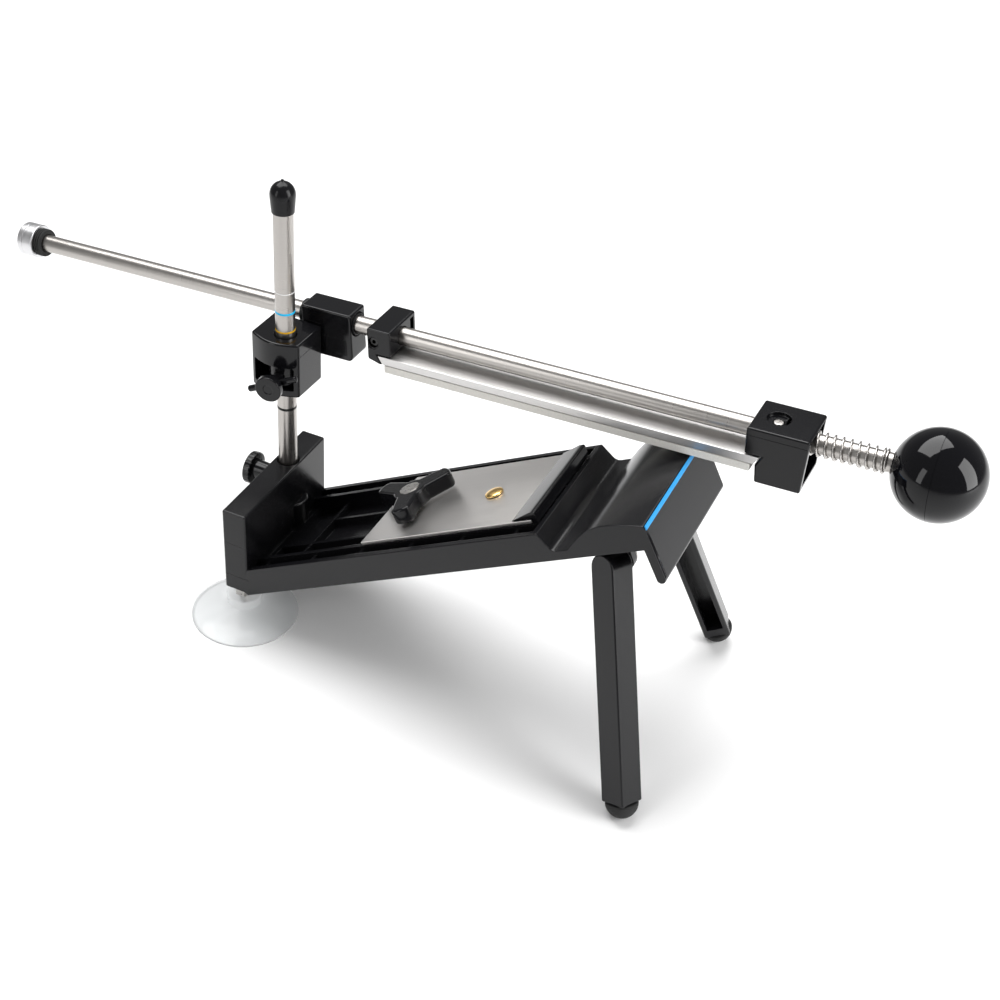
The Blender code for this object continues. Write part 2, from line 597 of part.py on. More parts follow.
def make_lock_knob(mats):
    """The knurled screw through the wall's outer face that holds the post."""
    tip, back = POST_R + GAP + 0.1 * MM, HALF_THICK + 2 * MM + GAP
    disc = LOCK_REACH - LOCK_KNOB_THICK
    profile = [(0, tip), (LOCK_SHANK_R, tip), (LOCK_SHANK_R, back + 1.5 * MM), (3.9 * MM, back + 1.5 * MM),
               (4.3 * MM, disc), (LOCK_KNOB_R - 0.5 * MM, disc), (LOCK_KNOB_R, disc + 0.5 * MM),
               (LOCK_KNOB_R, LOCK_REACH - 0.5 * MM), (LOCK_KNOB_R - 0.5 * MM, LOCK_REACH), (0, LOCK_REACH)]
    where = frame("lock_frame", (0, POST_Y, LOCK_Z), (0, -math.pi / 2, 0))
    place("post_lock_knob", turned(profile), mats["black"], where)


def make_collar(mats):
    """The collar that sets the height on the post, with its thumbscrew and cross pin."""
    middle = (COLLAR_LOW + COLLAR_TOP) / 2
    collar = frame("collar_frame", (0, POST_Y, 0), (0, 0, COLLAR_YAW))
    inner = POST_R + GAP
    ring = [(inner, COLLAR_LOW), (COLLAR_R - 0.6 * MM, COLLAR_LOW), (COLLAR_R, COLLAR_LOW + 0.6 * MM),
            (COLLAR_R, COLLAR_TOP - 0.6 * MM), (COLLAR_R - 0.6 * MM, COLLAR_TOP), (inner, COLLAR_TOP)]
    body = place("height_collar", turned(ring), mats["black"], collar)
    out = frame("thumbscrew_frame", (0, 0, middle), (math.pi / 2, 0, 0), collar)
    cut(body, place("thumbscrew_hole", rod(THUMB_SHANK_R + GAP, 1 * MM, 12 * MM, steps=SMALL_ROUND),
                    parent=out))
    tip = POST_R + GAP + 0.1 * MM
    profile = [(0, tip), (THUMB_SHANK_R, tip), (THUMB_SHANK_R, THUMB_NECK), (THUMB_NECK_R, THUMB_NECK),
               (THUMB_NECK_R, THUMB_DISC), (THUMB_DISC_R - 0.4 * MM, THUMB_DISC),
               (THUMB_DISC_R, THUMB_DISC + 0.4 * MM), (THUMB_DISC_R, THUMB_END - 0.4 * MM),
               (THUMB_DISC_R - 0.4 * MM, THUMB_END), (0, THUMB_END)]
    screw = place("collar_thumbscrew", turned(profile, 20), mats["black"], out)
    turn = (0, math.pi / 2 + math.radians(22), 0)
    cross = frame("cross_frame", (0, 0, CROSS_AT), (0, 0, math.radians(22)), out)
    hole = rod(CROSS_R + GAP, -20 * MM, 20 * MM, steps=SMALL_ROUND)
    cut(screw, place("cross_hole", hole, parent=cross, rotation=ALONG_X))
    bar = rod(CROSS_R, -CROSS_LENGTH / 2, CROSS_LENGTH / 2, 0.5 * MM, SMALL_ROUND)
    place("collar_cross_pin", bar, mats["black"], cross, rotation=ALONG_X)


# ---- swivel block ---------------------------------------------------------------------------------------------

def make_swivel(mats, swivel):
    """The block that turns about the post above and below the collar, open at its near side."""
    span = SWIVEL_RIGHT - SWIVEL_LEFT
    bulge = [(SWIVEL_LEFT + span * i / 10, SWIVEL_NEAR - SWIVEL_BULGE * math.sin(math.pi * i / 10))
             for i in range(11)]
    corner = 1.5 * MM
    back = arc((SWIVEL_RIGHT - corner, SWIVEL_FAR - corner), corner, 0, 90, 3)
    back += arc((SWIVEL_LEFT + corner, SWIVEL_FAR - corner), corner, 90, 180, 3)
    block = place("swivel_block", slab(bulge + back, SWIVEL_LOW, SWIVEL_TOP), mats["black"], swivel)
    soften(block, 0.9 * MM, 2)
    window = [((SWIVEL_LEFT + SWIVEL_SKIN, SWIVEL_RIGHT - SWIVEL_SKIN), (-25 * MM, WINDOW_BACK),
               (WINDOW_LOW, WINDOW_TOP))]
    cut(block, place("swivel_window", boxes(window), parent=swivel))
    cut(block, place("swivel_bore", rod(POST_R + GAP, SWIVEL_LOW - 5 * MM, SWIVEL_TOP + 5 * MM),
                     parent=swivel))
    deep = SWIVEL_FAR - TILT_PIN_DEEP
    cut(block, place("tilt_hole", rod(TILT_PIN_R + GAP, deep - GAP, SWIVEL_FAR + 5 * MM, steps=SMALL_ROUND),
                     parent=swivel, location=(TILT_PIN_T, 0, TILT_PIN_Z), rotation=ALONG_Y))
    end = SWIVEL_FAR + GAP + 2 * BLOCK_HALF - 1.4 * MM
    place("tilt_pin", rod(TILT_PIN_R, deep, end, 0.3 * MM, SMALL_ROUND), mats["steel"], swivel,
          location=(TILT_PIN_T, 0, TILT_PIN_Z), rotation=ALONG_Y)


# ---- guide block, sleeve and rod ----------------------------------------------------------------------------------

def make_guide_block(mats, rail):
    corner = 2.2 * MM
    outline = [(BLOCK_START, BLOCK_TOP), (BLOCK_START, BLOCK_LOW + corner)]
    outline += arc((BLOCK_START + corner, BLOCK_LOW + corner), corner, 180, 270, 4)
    outline += arc((BLOCK_END - corner, BLOCK_LOW + corner), corner, 270, 360, 4)
    outline += [(BLOCK_END, BLOCK_TOP)]
    block = place("guide_block", prism(outline, -BLOCK_HALF, BLOCK_HALF), mats["black"], rail)
    soften(block, 0.6 * MM, 2)
    cut(block, place("sleeve_bore", rod(SLEEVE_R + GAP, BLOCK_START - 5 * MM, BLOCK_END + 5 * MM),
                     parent=rail, rotation=ALONG_X))
    pin = rod(TILT_PIN_R + GAP, -20 * MM, BLOCK_HALF - 1.4 * MM + GAP, steps=SMALL_ROUND)
    cut(block, place("tilt_bore", pin, parent=rail, location=(ROD_DATUM, 0, -ROD_ABOVE_PIN), rotation=ALONG_Y))
    inner = ROD_R + GAP
    left, right = BLOCK_START - 1.8 * MM, BLOCK_END + 0.4 * MM
    sleeve = [(inner, left), (SLEEVE_R + 0.7 * MM, left), (SLEEVE_R + 0.7 * MM, BLOCK_START - GAP),
              (SLEEVE_R, BLOCK_START - GAP), (SLEEVE_R, right), (inner, right)]
    place("guide_sleeve", turned(sleeve), mats["rubber"], rail, rotation=ALONG_X)


def make_rod(mats, rail):
    place("guide_rod", rod(ROD_R, ROD_START, ROD_END, 0.5 * MM), mats["steel"], rail, rotation=ALONG_X)
    ball = [(BALL_R * math.sin(math.radians(a)), BALL_AT + BALL_R * math.cos(math.radians(a)))
            for a in range(0, 161, 10)]
    inner = ROD_R + GAP
    mouth = BALL_AT - BALL_R * math.cos(math.asin((inner + 0.8 * MM) / BALL_R))
    ball = ball[:-1] + [(inner + 0.8 * MM, mouth), (inner, mouth), (inner, ROD_END + GAP), (0, ROD_END + GAP)]
    place("ball_handle", turned(ball, 24), mats["ball"], rail, rotation=ALONG_X)
    bore = inner
    cap = [(1.6 * MM, END_CAP_START), (END_CAP_R - 0.7 * MM, END_CAP_START),
           (END_CAP_R, END_CAP_START + 0.7 * MM), (END_CAP_R, END_CAP_END - 0.5 * MM),
           (END_CAP_R - 0.5 * MM, END_CAP_END), (bore, END_CAP_END), (bore, ROD_START - GAP),
           (1.6 * MM, ROD_START - GAP)]
    place("rod_end_collar", turned(cap), mats["aluminium"], rail, rotation=ALONG_X)
    head = END_CAP_START - GAP
    nub = head - END_SCREW_HIGH
    screw = [(0, nub), (1.7 * MM, nub), (2.4 * MM, nub + 0.9 * MM), (2.4 * MM, head), (1.3 * MM, head),
             (1.3 * MM, ROD_START - 2 * GAP), (0, ROD_START - 2 * GAP)]
    place("rod_end_screw", turned(screw, SMALL_ROUND), mats["steel"], rail, rotation=ALONG_X)
    for i in range(BUMPER_COUNT):
        low = END_CAP_END + GAP + i * (BUMPER_WIDTH + GAP)
        shoulder = BUMPER_WIDTH * 0.22
        ring = [(bore, low), (BUMPER_R - 0.4 * MM, low), (BUMPER_R - 0.1 * MM, low + shoulder),
                (BUMPER_R, low + BUMPER_WIDTH / 2), (BUMPER_R - 0.1 * MM, low + BUMPER_WIDTH - shoulder),
                (BUMPER_R - 0.4 * MM, low + BUMPER_WIDTH), (bore, low + BUMPER_WIDTH)]
        place("bumper_ring_%d" % (i + 1), turned(ring, 20), mats["rubber"], rail, rotation=ALONG_X)


# ---- stone and its clamps ---------------------------------------------------------------------------------------------

def rod_bore(rail, name):
    return place(name, rod(ROD_R + GAP, ROD_START, ROD_END), parent=rail, rotation=ALONG_X)


def set_screw(name, mats, rail, clamp, at, sideways):
    """A grub screw in its own tapped hole, pressing on the rod from above or from the near side."""
    turn = (math.pi / 2, 0, 0) if sideways else (0, 0, 0)
    low = ROD_R + GAP
    top = CLAMP_HALF - 1.2 * MM if sideways else CLAMP_TOP - 1.3 * MM
    reach = 20 * MM
    cut(clamp, place(name + "_hole", rod(SET_SCREW_R + GAP, 0.5 * MM, reach, steps=SMALL_ROUND),
                     parent=rail, location=(at, 0, 0), rotation=turn))
    screw = rod(SET_SCREW_R, low, top, 0.2 * MM, SMALL_ROUND)
    body = place(name, screw, mats["steel"], rail, location=(at, 0, 0), rotation=turn)
    hexagon = [(0.95 * MM * math.cos(math.radians(60 * i)), 0.95 * MM * math.sin(math.radians(60 * i)))
               for i in range(6)]
    cut(body, place(name + "_key", slab(hexagon, low + 0.7 * MM, top + 2 * MM), parent=rail,
                    location=(at, 0, 0), rotation=turn))


def make_rear_clamp(mats, rail):
    """The clamp at the post end: a block with an undercut lip that holds the blank's sloping end."""
    pocket_top = BLANK_TOP + GAP
    low = BLANK_TOP - BLANK_THICK - GAP
    slope = (low - BLANK_TOP) / BLANK_THICK * BLANK_UNDERCUT
    outline = [(REAR_START, CLAMP_TOP), (REAR_START, BLANK_TOP - 2.2 * MM),
               (BLANK_START - GAP - slope - 1.4 * MM, low), (BLANK_START - GAP - slope, low),
               (BLANK_START - GAP, pocket_top), (REAR_END, pocket_top), (REAR_END, CLAMP_TOP)]
    clamp = place("rear_stone_clamp", prism(outline, -CLAMP_HALF, CLAMP_HALF), mats["black"], rail)
    soften(clamp, 0.5 * MM, 1)
    cut(clamp, rod_bore(rail, "rear_clamp_bore"))
    core = [((REAR_START + 3 * MM, REAR_END + 5 * MM), (ROD_R + 2.4 * MM, CLAMP_HALF - 1.6 * MM),
             (-3.4 * MM, CLAMP_TOP - 1.6 * MM))]
    cut(clamp, place("rear_clamp_core", boxes(core), parent=rail))
    set_screw("rear_clamp_screw", mats, rail, clamp, REAR_START + REAR_SCREW_IN, True)


def make_front_clamp(mats, rail):
    """The sprung clamp at the ball end, cored from its far end, where the spring goes in."""
    pocket_top = BLANK_TOP + GAP
    low = BLANK_TOP - BLANK_THICK - GAP
    slope = (BLANK_TOP - low) / BLANK_THICK * BLANK_UNDERCUT
    tip = BLANK_END + 2 * GAP
    outline = [(FRONT_START, CLAMP_TOP), (FRONT_START, pocket_top), (tip, pocket_top),
               (tip - slope, low), (tip - slope + 0.5 * MM, FRONT_LOW), (FRONT_END - 1.6 * MM, FRONT_LOW),
               (FRONT_END, CLAMP_TOP)]
    clamp = place("front_stone_clamp", prism(outline, -CLAMP_HALF, CLAMP_HALF), mats["black"], rail)
    soften(clamp, 0.5 * MM, 1)
    cut(clamp, rod_bore(rail, "front_clamp_bore"))
    core = [((SPRING_START - 1.2 * MM, FRONT_END + 5 * MM), (-CLAMP_HALF + 2.2 * MM, CLAMP_HALF - 2.2 * MM),
             (FRONT_LOW + 2.2 * MM, CLAMP_TOP - 0.9 * MM))]
    cut(clamp, place("front_clamp_core", boxes(core), parent=rail))
    at = FRONT_START + FRONT_SCREW_IN
    cut(clamp, place("screw_recess", rod(4.6 * MM, CLAMP_TOP - 1.4 * MM, CLAMP_TOP + 5 * MM),
                     parent=rail, location=(at, 0, 0)))
    set_screw("front_clamp_screw", mats, rail, clamp, at, False)


def make_stone(mats, rail):
    low = BLANK_TOP - BLANK_THICK
    outline = [(BLANK_START, BLANK_TOP), (BLANK_START + BLANK_UNDERCUT, low),
               (BLANK_END - BLANK_UNDERCUT, low), (BLANK_END, BLANK_TOP)]
    place("stone_blank", prism(outline, -CLAMP_HALF, CLAMP_HALF), mats["aluminium"], rail)
    top = low - GAP
    stone = [((STONE_START, STONE_END), (-STONE_HALF, STONE_HALF), (top - STONE_THICK + GAP, top))]
    place("sharpening_stone", boxes(stone), mats["stone"], rail)


def make_spring(mats, rail):
    """The compression spring round the rod, between the ball and the front clamp."""
    curve = bpy.data.curves.new("carriage_spring", "CURVE")
    curve.dimensions = "3D"
    curve.bevel_depth = SPRING_WIRE_R
    curve.bevel_resolution = 0
    curve.use_fill_caps = True
    per_turn = 12
    count = int(SPRING_TURNS * per_turn) + 1
    spline = curve.splines.new("POLY")
    spline.points.add(count - 1)
    for i, point in enumerate(spline.points):
        turn = math.tau * i / per_turn
        along = SPRING_START + SPRING_WIRE_R + GAP
        along += (SPRING_END - SPRING_START - 2 * SPRING_WIRE_R - 2 * GAP) * i / (count - 1)
        point.co = (along, SPRING_R * math.cos(turn), SPRING_R * math.sin(turn), 1)
    spring = bpy.data.objects.new("carriage_spring", curve)
    bpy.context.collection.objects.link(spring)
    curve.materials.append(mats["steel"])
    spring.parent = rail


# ---- blade guide ---------------------------------------------------------------------------------------------------------

def knob_outline():
    """Three blunt lobes round a hub."""
    points = []
    for lobe in range(3):
        bearing = KNOB_TURN + math.tau * lobe / 3
        out = Vector((math.cos(bearing), math.sin(bearing)))
        side = Vector((-out.y, out.x))
        flank = math.sqrt(KNOB_HUB_R ** 2 - KNOB_LOBE_HALF ** 2)
        tip = KNOB_LOBE_R - 1.6 * MM
        for along, across in ((flank, -KNOB_LOBE_HALF), (tip, -KNOB_LOBE_HALF * 0.82),
                              (KNOB_LOBE_R, -KNOB_LOBE_HALF * 0.4), (KNOB_LOBE_R, KNOB_LOBE_HALF * 0.4),
                              (tip, KNOB_LOBE_HALF * 0.82), (flank, KNOB_LOBE_HALF)):
            points.append(tuple(out * along + side * across))
        start = math.degrees(bearing) + math.degrees(math.asin(KNOB_LOBE_HALF / KNOB_HUB_R))
        end = math.degrees(bearing) + 120 - math.degrees(math.asin(KNOB_LOBE_HALF / KNOB_HUB_R))
        points += arc((0, 0), KNOB_HUB_R, start, end, 4)[1:-1]
    return points


def make_guide(mats, tray):
    plate_top = PLATE_LOW + PLATE_THICK
    plate = place("guide_plate", boxes([((PLATE_START, PLATE_END), (-PLATE_HALF, PLATE_HALF),
                                         (PLATE_LOW, plate_top))]), mats["steel"], tray)
    holes = place("plate_hole", rod(GUIDE_SCREW_R + 2 * GAP, 0, 30 * MM, steps=SMALL_ROUND), parent=tray,
                  location=(KNOB_AT, 0, 0))
    cut(plate, holes)
    cut(plate, place("button_hole", rod(1.5 * MM + GAP, 0, 30 * MM, steps=SMALL_ROUND), parent=tray,
                     location=(BUTTON_AT, 0, 0)))
    low = plate_top + GAP
    outline = [(STOP_START, low), (PLATE_END + GAP, low), (PLATE_END + GAP, PLATE_LOW), (STOP_END, PLATE_LOW),
               (STOP_END, low + STOP_HIGH), (STOP_FLAT, low + STOP_HIGH), (STOP_START, low + 0.3 * MM)]
    place("guide_stop", prism(outline, -PLATE_HALF, PLATE_HALF), mats["black"], tray)
    button = [(0, PLATE_LOW), (1.5 * MM, PLATE_LOW), (1.5 * MM, low), (BUTTON_R, low),
              (BUTTON_R, low + 0.4 * MM), (BUTTON_R * 0.8, low + 0.9 * MM), (BUTTON_R * 0.45, low + 1.2 * MM),
              (0, low + 1.3 * MM)]
    place("guide_button", turned(button, 20), mats["brass"], tray, location=(BUTTON_AT, 0, 0))
    knob = frame("knob_frame", (KNOB_AT, 0, 0), parent=tray)
    body = place("guide_knob", slab(knob_outline(), KNOB_LOW, KNOB_TOP), mats["black"], knob)
    soften(body, 0.8 * MM, 2)
    recess = rod(INLAY_R + GAP, KNOB_TOP - 0.8 * MM, KNOB_TOP + 5 * MM)
    cut(body, place("inlay_recess", recess, parent=knob))
    top = KNOB_TOP - 2.2 * MM
    cut(body, place("knob_bore", rod(GUIDE_SCREW_R + GAP, 0, top + GAP, steps=SMALL_ROUND), parent=knob))
    place("knob_inlay", rod(INLAY_R, KNOB_TOP - 0.5 * MM, KNOB_TOP + 0.2 * MM, 0.15 * MM), mats["steel"], knob)
    place("guide_screw", rod(GUIDE_SCREW_R, 0.1 * MM, top, 0.3 * MM, SMALL_ROUND), mats["steel"], knob)
    half = GUIDE_NUT / 2
    nut_top = FLOOR_LOW - GAP
    nut = place("guide_nut", slab(rounded_box_plan(half, half, 1 * MM, 2), nut_top - GUIDE_NUT_THICK, nut_top),
                mats["steel"], tray, location=(KNOB_AT, 0, 0))
    cut(nut, place("guide_nut_hole", rod(GUIDE_SCREW_R + GAP, -5 * MM, 10 * MM, steps=SMALL_ROUND), parent=tray,
                   location=(KNOB_AT, 0, 0)))


def main():
    clear_scene()
    mats = {
        "black": material("black_plastic", (0.012, 0.012, 0.014), 0.3),
        "ball": material("ball_phenolic", (0.006, 0.006, 0.007), 0.08),
        "rubber": material("black_rubber", (0.015, 0.015, 0.016), 0.6),
        "vinyl": material("cap_vinyl", (0.01, 0.01, 0.011), 0.35),
        "steel": material("stainless_steel", (0.62, 0.60, 0.58), 0.28, 1.0),
        "aluminium": material("aluminium", (0.74, 0.74, 0.73), 0.35, 1.0),
        "stone": material("stone_grit", (0.78, 0.74, 0.66), 0.85),
        "brass": material("brass", (0.80, 0.55, 0.22), 0.25, 1.0),
        "blue": material("blue_tape", (0.02, 0.30, 0.75), 0.4),
        "clear": material("clear_vinyl", (0.85, 0.87, 0.88), 0.1, 0.0, 0.35),
    }
    tray = frame("tray_frame", (HALF_THICK, 0, -TRAY_DROP), (0, -TRAY_RISE, 0))
    swivel = frame("swivel_frame", (0, POST_Y, 0), (0, 0, SWIVEL_YAW))
    arm = frame("arm_frame", (TILT_PIN_T, SWIVEL_FAR + GAP + BLOCK_HALF, TILT_PIN_Z), (0, -TILT, 0), swivel)
    rail = frame("rail_frame", (-ROD_DATUM, 0, ROD_ABOVE_PIN), parent=arm)
    make_base(mats, tray)
    make_strip(mats, tray)
    for side, word in ((-1, "near"), (1, "far")):
        make_leg(side, word, mats, tray)
        make_cup(side, word, mats)
    make_post(mats)
    make_lock_knob(mats)
    make_collar(mats)
    make_swivel(mats, swivel)
    make_guide_block(mats, rail)
    make_rod(mats, rail)
    make_rear_clamp(mats, rail)
    make_front_clamp(mats, rail)
    make_stone(mats, rail)
    make_spring(mats, rail)
    make_guide(mats, tray)


main()
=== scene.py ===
"""Looks of the guided-rod knife sharpener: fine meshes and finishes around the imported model.

Shapes are drawn in millimetres in the frame of the group they belong to. Each group's frame comes
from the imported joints, so every piece lands where its CAD solid is.
"""
import json
import logging
import math
from dataclasses import dataclass, field
from enum import Enum

import bmesh
import bpy
from mathutils import Matrix, Vector

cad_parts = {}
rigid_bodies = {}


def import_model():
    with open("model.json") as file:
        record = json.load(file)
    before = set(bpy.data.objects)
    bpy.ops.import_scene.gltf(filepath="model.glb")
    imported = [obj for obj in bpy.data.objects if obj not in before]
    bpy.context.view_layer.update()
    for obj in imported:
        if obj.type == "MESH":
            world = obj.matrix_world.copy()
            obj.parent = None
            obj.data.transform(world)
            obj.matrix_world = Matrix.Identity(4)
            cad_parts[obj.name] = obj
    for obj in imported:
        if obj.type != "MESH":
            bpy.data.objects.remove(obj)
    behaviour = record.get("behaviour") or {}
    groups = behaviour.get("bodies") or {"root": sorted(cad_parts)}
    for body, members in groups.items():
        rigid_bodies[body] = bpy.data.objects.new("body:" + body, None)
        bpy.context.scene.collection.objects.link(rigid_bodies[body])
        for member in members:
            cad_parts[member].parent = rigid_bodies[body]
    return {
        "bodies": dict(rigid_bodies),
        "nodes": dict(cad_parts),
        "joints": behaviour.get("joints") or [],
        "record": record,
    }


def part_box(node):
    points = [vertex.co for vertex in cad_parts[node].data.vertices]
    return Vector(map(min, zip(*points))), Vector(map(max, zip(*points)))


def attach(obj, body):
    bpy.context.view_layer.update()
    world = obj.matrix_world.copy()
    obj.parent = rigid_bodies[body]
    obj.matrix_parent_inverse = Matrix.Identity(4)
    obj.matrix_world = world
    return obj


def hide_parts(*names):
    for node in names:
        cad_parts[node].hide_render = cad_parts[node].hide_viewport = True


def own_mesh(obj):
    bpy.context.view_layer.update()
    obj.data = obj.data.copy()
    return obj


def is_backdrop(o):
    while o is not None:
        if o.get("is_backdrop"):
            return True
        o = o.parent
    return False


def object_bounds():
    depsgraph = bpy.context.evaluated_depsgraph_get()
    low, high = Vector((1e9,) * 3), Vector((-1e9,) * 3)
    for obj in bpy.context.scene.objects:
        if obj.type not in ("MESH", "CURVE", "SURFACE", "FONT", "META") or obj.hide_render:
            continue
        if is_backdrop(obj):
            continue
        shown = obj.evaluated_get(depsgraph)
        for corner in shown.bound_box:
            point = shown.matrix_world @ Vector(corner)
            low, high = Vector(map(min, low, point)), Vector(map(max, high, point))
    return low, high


logging.basicConfig(level=logging.INFO, format="%(message)s")
log = logging.getLogger("sharpener")

MM = 0.001
GAP = 0.3                          # what two neighbouring pieces leave free, in millimetres
FINE = 96                          # sides of a large round piece
SMALL = 48                         # sides of a small one
SCREW_R = 2.0                      # outside of every screw's thread
SCREW_BORE = SCREW_R + GAP         # the clearance hole for it
PAST = 5.0                         # how far a cutter runs past the piece that it opens

Point = tuple[float, float]
Span = tuple[float, float]


# ---- places ----

@dataclass(frozen=True)
class Place:
    """A frame to draw in: its origin and its X and Z directions, in the row frame, in metres."""

    origin: Vector
    x: Vector
    z: Vector

    @property
    def y(self) -> Vector:
        """The direction across X and Z."""
        return self.z.cross(self.x).normalized()

    def matrix(self) -> Matrix:
        """The object matrix of a piece drawn in this frame."""
        turn = Matrix((self.x, self.y, self.z)).transposed()
        return Matrix.Translation(self.origin) @ turn.to_4x4()

    def point(self, x: float, y: float, z: float) -> Vector:
        """A point given here in millimetres, in the row frame in metres."""
        return self.origin + (self.x * x + self.y * y + self.z * z) * MM

    def moved(self, x: float = 0.0, y: float = 0.0, z: float = 0.0) -> "Place":
        """The same directions from another origin, given in millimetres."""
        return Place(self.point(x, y, z), self.x, self.z)

    def along_x(self) -> "Place":
        """A frame whose Z runs along this one's X, for turned pieces."""
        return Place(self.origin, -self.z, self.x)

    def along_y(self, side: int = 1) -> "Place":
        """A frame whose Z runs along this one's Y, or against it."""
        return Place(self.origin, self.x, self.y * side)

    def against_x(self) -> "Place":
        """A frame whose Z runs against this one's X."""
        return Place(self.origin, self.z, -self.x)


@dataclass
class Places:
    """The frames of the sharpener's groups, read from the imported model's joints."""

    joints: dict[str, dict]
    post_y: float = 10.8
    knob_spot: Point = (77.0, 18.5)
    bush_at: float = 10.0

    def axis(self, name: str) -> Vector:
        """Direction of a joint."""
        return Vector(self.joints[name]["axis"]).normalized()

    def spot(self, name: str) -> Vector:
        """Place of a hinge."""
        return Vector(self.joints[name]["pos_m"])

    def base(self) -> Place:
        """The row frame itself."""
        return Place(Vector((0, 0, 0)), Vector((1, 0, 0)), Vector((0, 0, 1)))

    def tray(self) -> Place:
        """X up the tray's slope, Z out of its floor, from the wall's inner face."""
        along, out = self.axis("blade_guide_slide"), self.axis("guide_knob_turn")
        up_slope, high = self.knob_spot
        return Place(self.spot("guide_knob_turn"), along, out).moved(-up_slope, 0, -high)

    def post(self) -> Place:
        """The post's axis, at the height of the wall's underside."""
        return self.base().moved(0, self.post_y, 0)

    def swivel(self) -> Place:
        """The post's axis, with X along the rod's bearing."""
        across = -self.axis("arm_tilt")
        up = Vector((0, 0, 1))
        return Place(self.post().origin, across.cross(up).normalized(), up)

    def rail(self) -> Place:
        """X along the rod towards the ball, Z out of the top of the stone's clamps."""
        along = self.axis("rod_slide")
        across = -self.axis("arm_tilt")
        return Place(self.spot("rod_roll"), along, along.cross(across).normalized()).moved(-self.bush_at)

    def thumbscrew(self) -> Place:
        """Z out along the collar's thumbscrew, from the post's axis."""
        out = self.axis("thumbscrew_turn")
        return Place(self.spot("thumbscrew_turn"), Vector((0, 0, 1)).cross(-out).normalized(), out)

    def leg(self, word: str) -> Place:
        """A leg's pivot, with Y along its pin and Z up the leg."""
        pin = self.axis(f"leg_{word}_fold")
        low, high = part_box(f"foot_{word}")
        up = self.spot(f"leg_{word}_fold") - (low + high) / 2
        up = (up - pin * up.dot(pin)).normalized()
        return Place(self.spot(f"leg_{word}_fold"), pin.cross(up).normalized(), up)

    def cup(self, word: str) -> Place:
        """The middle of a suction cup's rim, on the ground."""
        low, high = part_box(f"suction_cup_{word}")
        middle = (low + high) / 2
        return Place(Vector((middle.x, middle.y, low.z)), Vector((1, 0, 0)), Vector((0, 0, 1)))


# ---- mesh tools ----

def solid(name: str, bm: bmesh.types.BMesh, place: Place) -> bpy.types.Object:
    """Turn a bmesh drawn in millimetres into an object in its place.

    Args:
        name: the object's name.
        bm: the shape, which is freed.
        place: the frame it was drawn in.

    Returns:
        The new object.
    """
    bmesh.ops.remove_doubles(bm, verts=bm.verts, dist=1e-4)
    bmesh.ops.dissolve_degenerate(bm, edges=bm.edges, dist=1e-5)
    bmesh.ops.recalc_face_normals(bm, faces=bm.faces)
    bmesh.ops.scale(bm, vec=(MM, MM, MM), verts=bm.verts)
    mesh = bpy.data.meshes.new(name)
    bm.to_mesh(mesh)
    bm.free()
    obj = bpy.data.objects.new(name, mesh)
    bpy.context.collection.objects.link(obj)
    obj.matrix_world = place.matrix()
    return obj


def extruded(ring: list[tuple[float, float, float]], move: tuple[float, float, float]) -> bmesh.types.BMesh:
    """A flat ring of points drawn out along a vector."""
    bm = bmesh.new()
    face = bm.faces.new([bm.verts.new(p) for p in ring])
    grown = bmesh.ops.extrude_face_region(bm, geom=[face])
    moved = [v for v in grown["geom"] if isinstance(v, bmesh.types.BMVert)]
    bmesh.ops.translate(bm, verts=moved, vec=move)
    return bm


def prism(outline: list[Point], low: float, high: float) -> bmesh.types.BMesh:
    """A side outline of (x, z) points, drawn across from y = low to y = high."""
    return extruded([(x, low, z) for x, z in outline], (0, high - low, 0))


def slab(outline: list[Point], low: float, high: float) -> bmesh.types.BMesh:
    """A plan outline of (x, y) points, raised from z = low to z = high."""
    return extruded([(x, y, low) for x, y in outline], (0, 0, high - low))


def boxes(spans: list[tuple[Span, Span, Span]]) -> bmesh.types.BMesh:
    """Separate boxes, each given as ((x0, x1), (y0, y1), (z0, z1))."""
    bm = bmesh.new()
    for xs, ys, zs in spans:
        size = Matrix.Diagonal((xs[1] - xs[0], ys[1] - ys[0], zs[1] - zs[0], 1))
        middle = Vector((xs[1] + xs[0], ys[1] + ys[0], zs[1] + zs[0])) / 2
        bmesh.ops.create_cube(bm, size=1.0, matrix=Matrix.Translation(middle) @ size)
    return bm


def turned(profile: list[Point], steps: int = FINE) -> bmesh.types.BMesh:
    """A solid of revolution about local Z, from its closed outline of (radius, z) points."""
    bm = bmesh.new()
    verts = [bm.verts.new((r, 0, z)) for r, z in profile]
    edges = []
    for i, vert in enumerate(verts):
        following = (i + 1) % len(verts)
        if profile[i][0] > 1e-6 or profile[following][0] > 1e-6:
            edges.append(bm.edges.new((vert, verts[following])))
    bmesh.ops.spin(bm, geom=verts + edges, cent=(0, 0, 0), axis=(0, 0, 1), angle=math.tau, steps=steps,
                   use_merge=True)
    return bm


def arc(centre: Point, radius: float, start: float, end: float, steps: int = 6) -> list[Point]:
    """Points of a round stretch, both ends included, angles in degrees."""
    return [(centre[0] + radius * math.cos(math.radians(start + (end - start) * i / steps)),
             centre[1] + radius * math.sin(math.radians(start + (end - start) * i / steps)))
            for i in range(steps + 1)]


def oval(centre: Point, wide: float, high: float, angles: range) -> list[Point]:
    """Points of an ellipse at whole degrees."""
    return [(centre[0] + wide * math.cos(math.radians(a)), centre[1] + high * math.sin(math.radians(a)))
            for a in angles]


def rim(radius: float, low: float, high: float, edge: float, steps: int = 4) -> list[Point]:
    """The outer side of a turned piece, its two corners rounded."""
    return [*arc((radius - edge, low + edge), edge, -90, 0, steps),
            *arc((radius - edge, high - edge), edge, 0, 90, steps)]


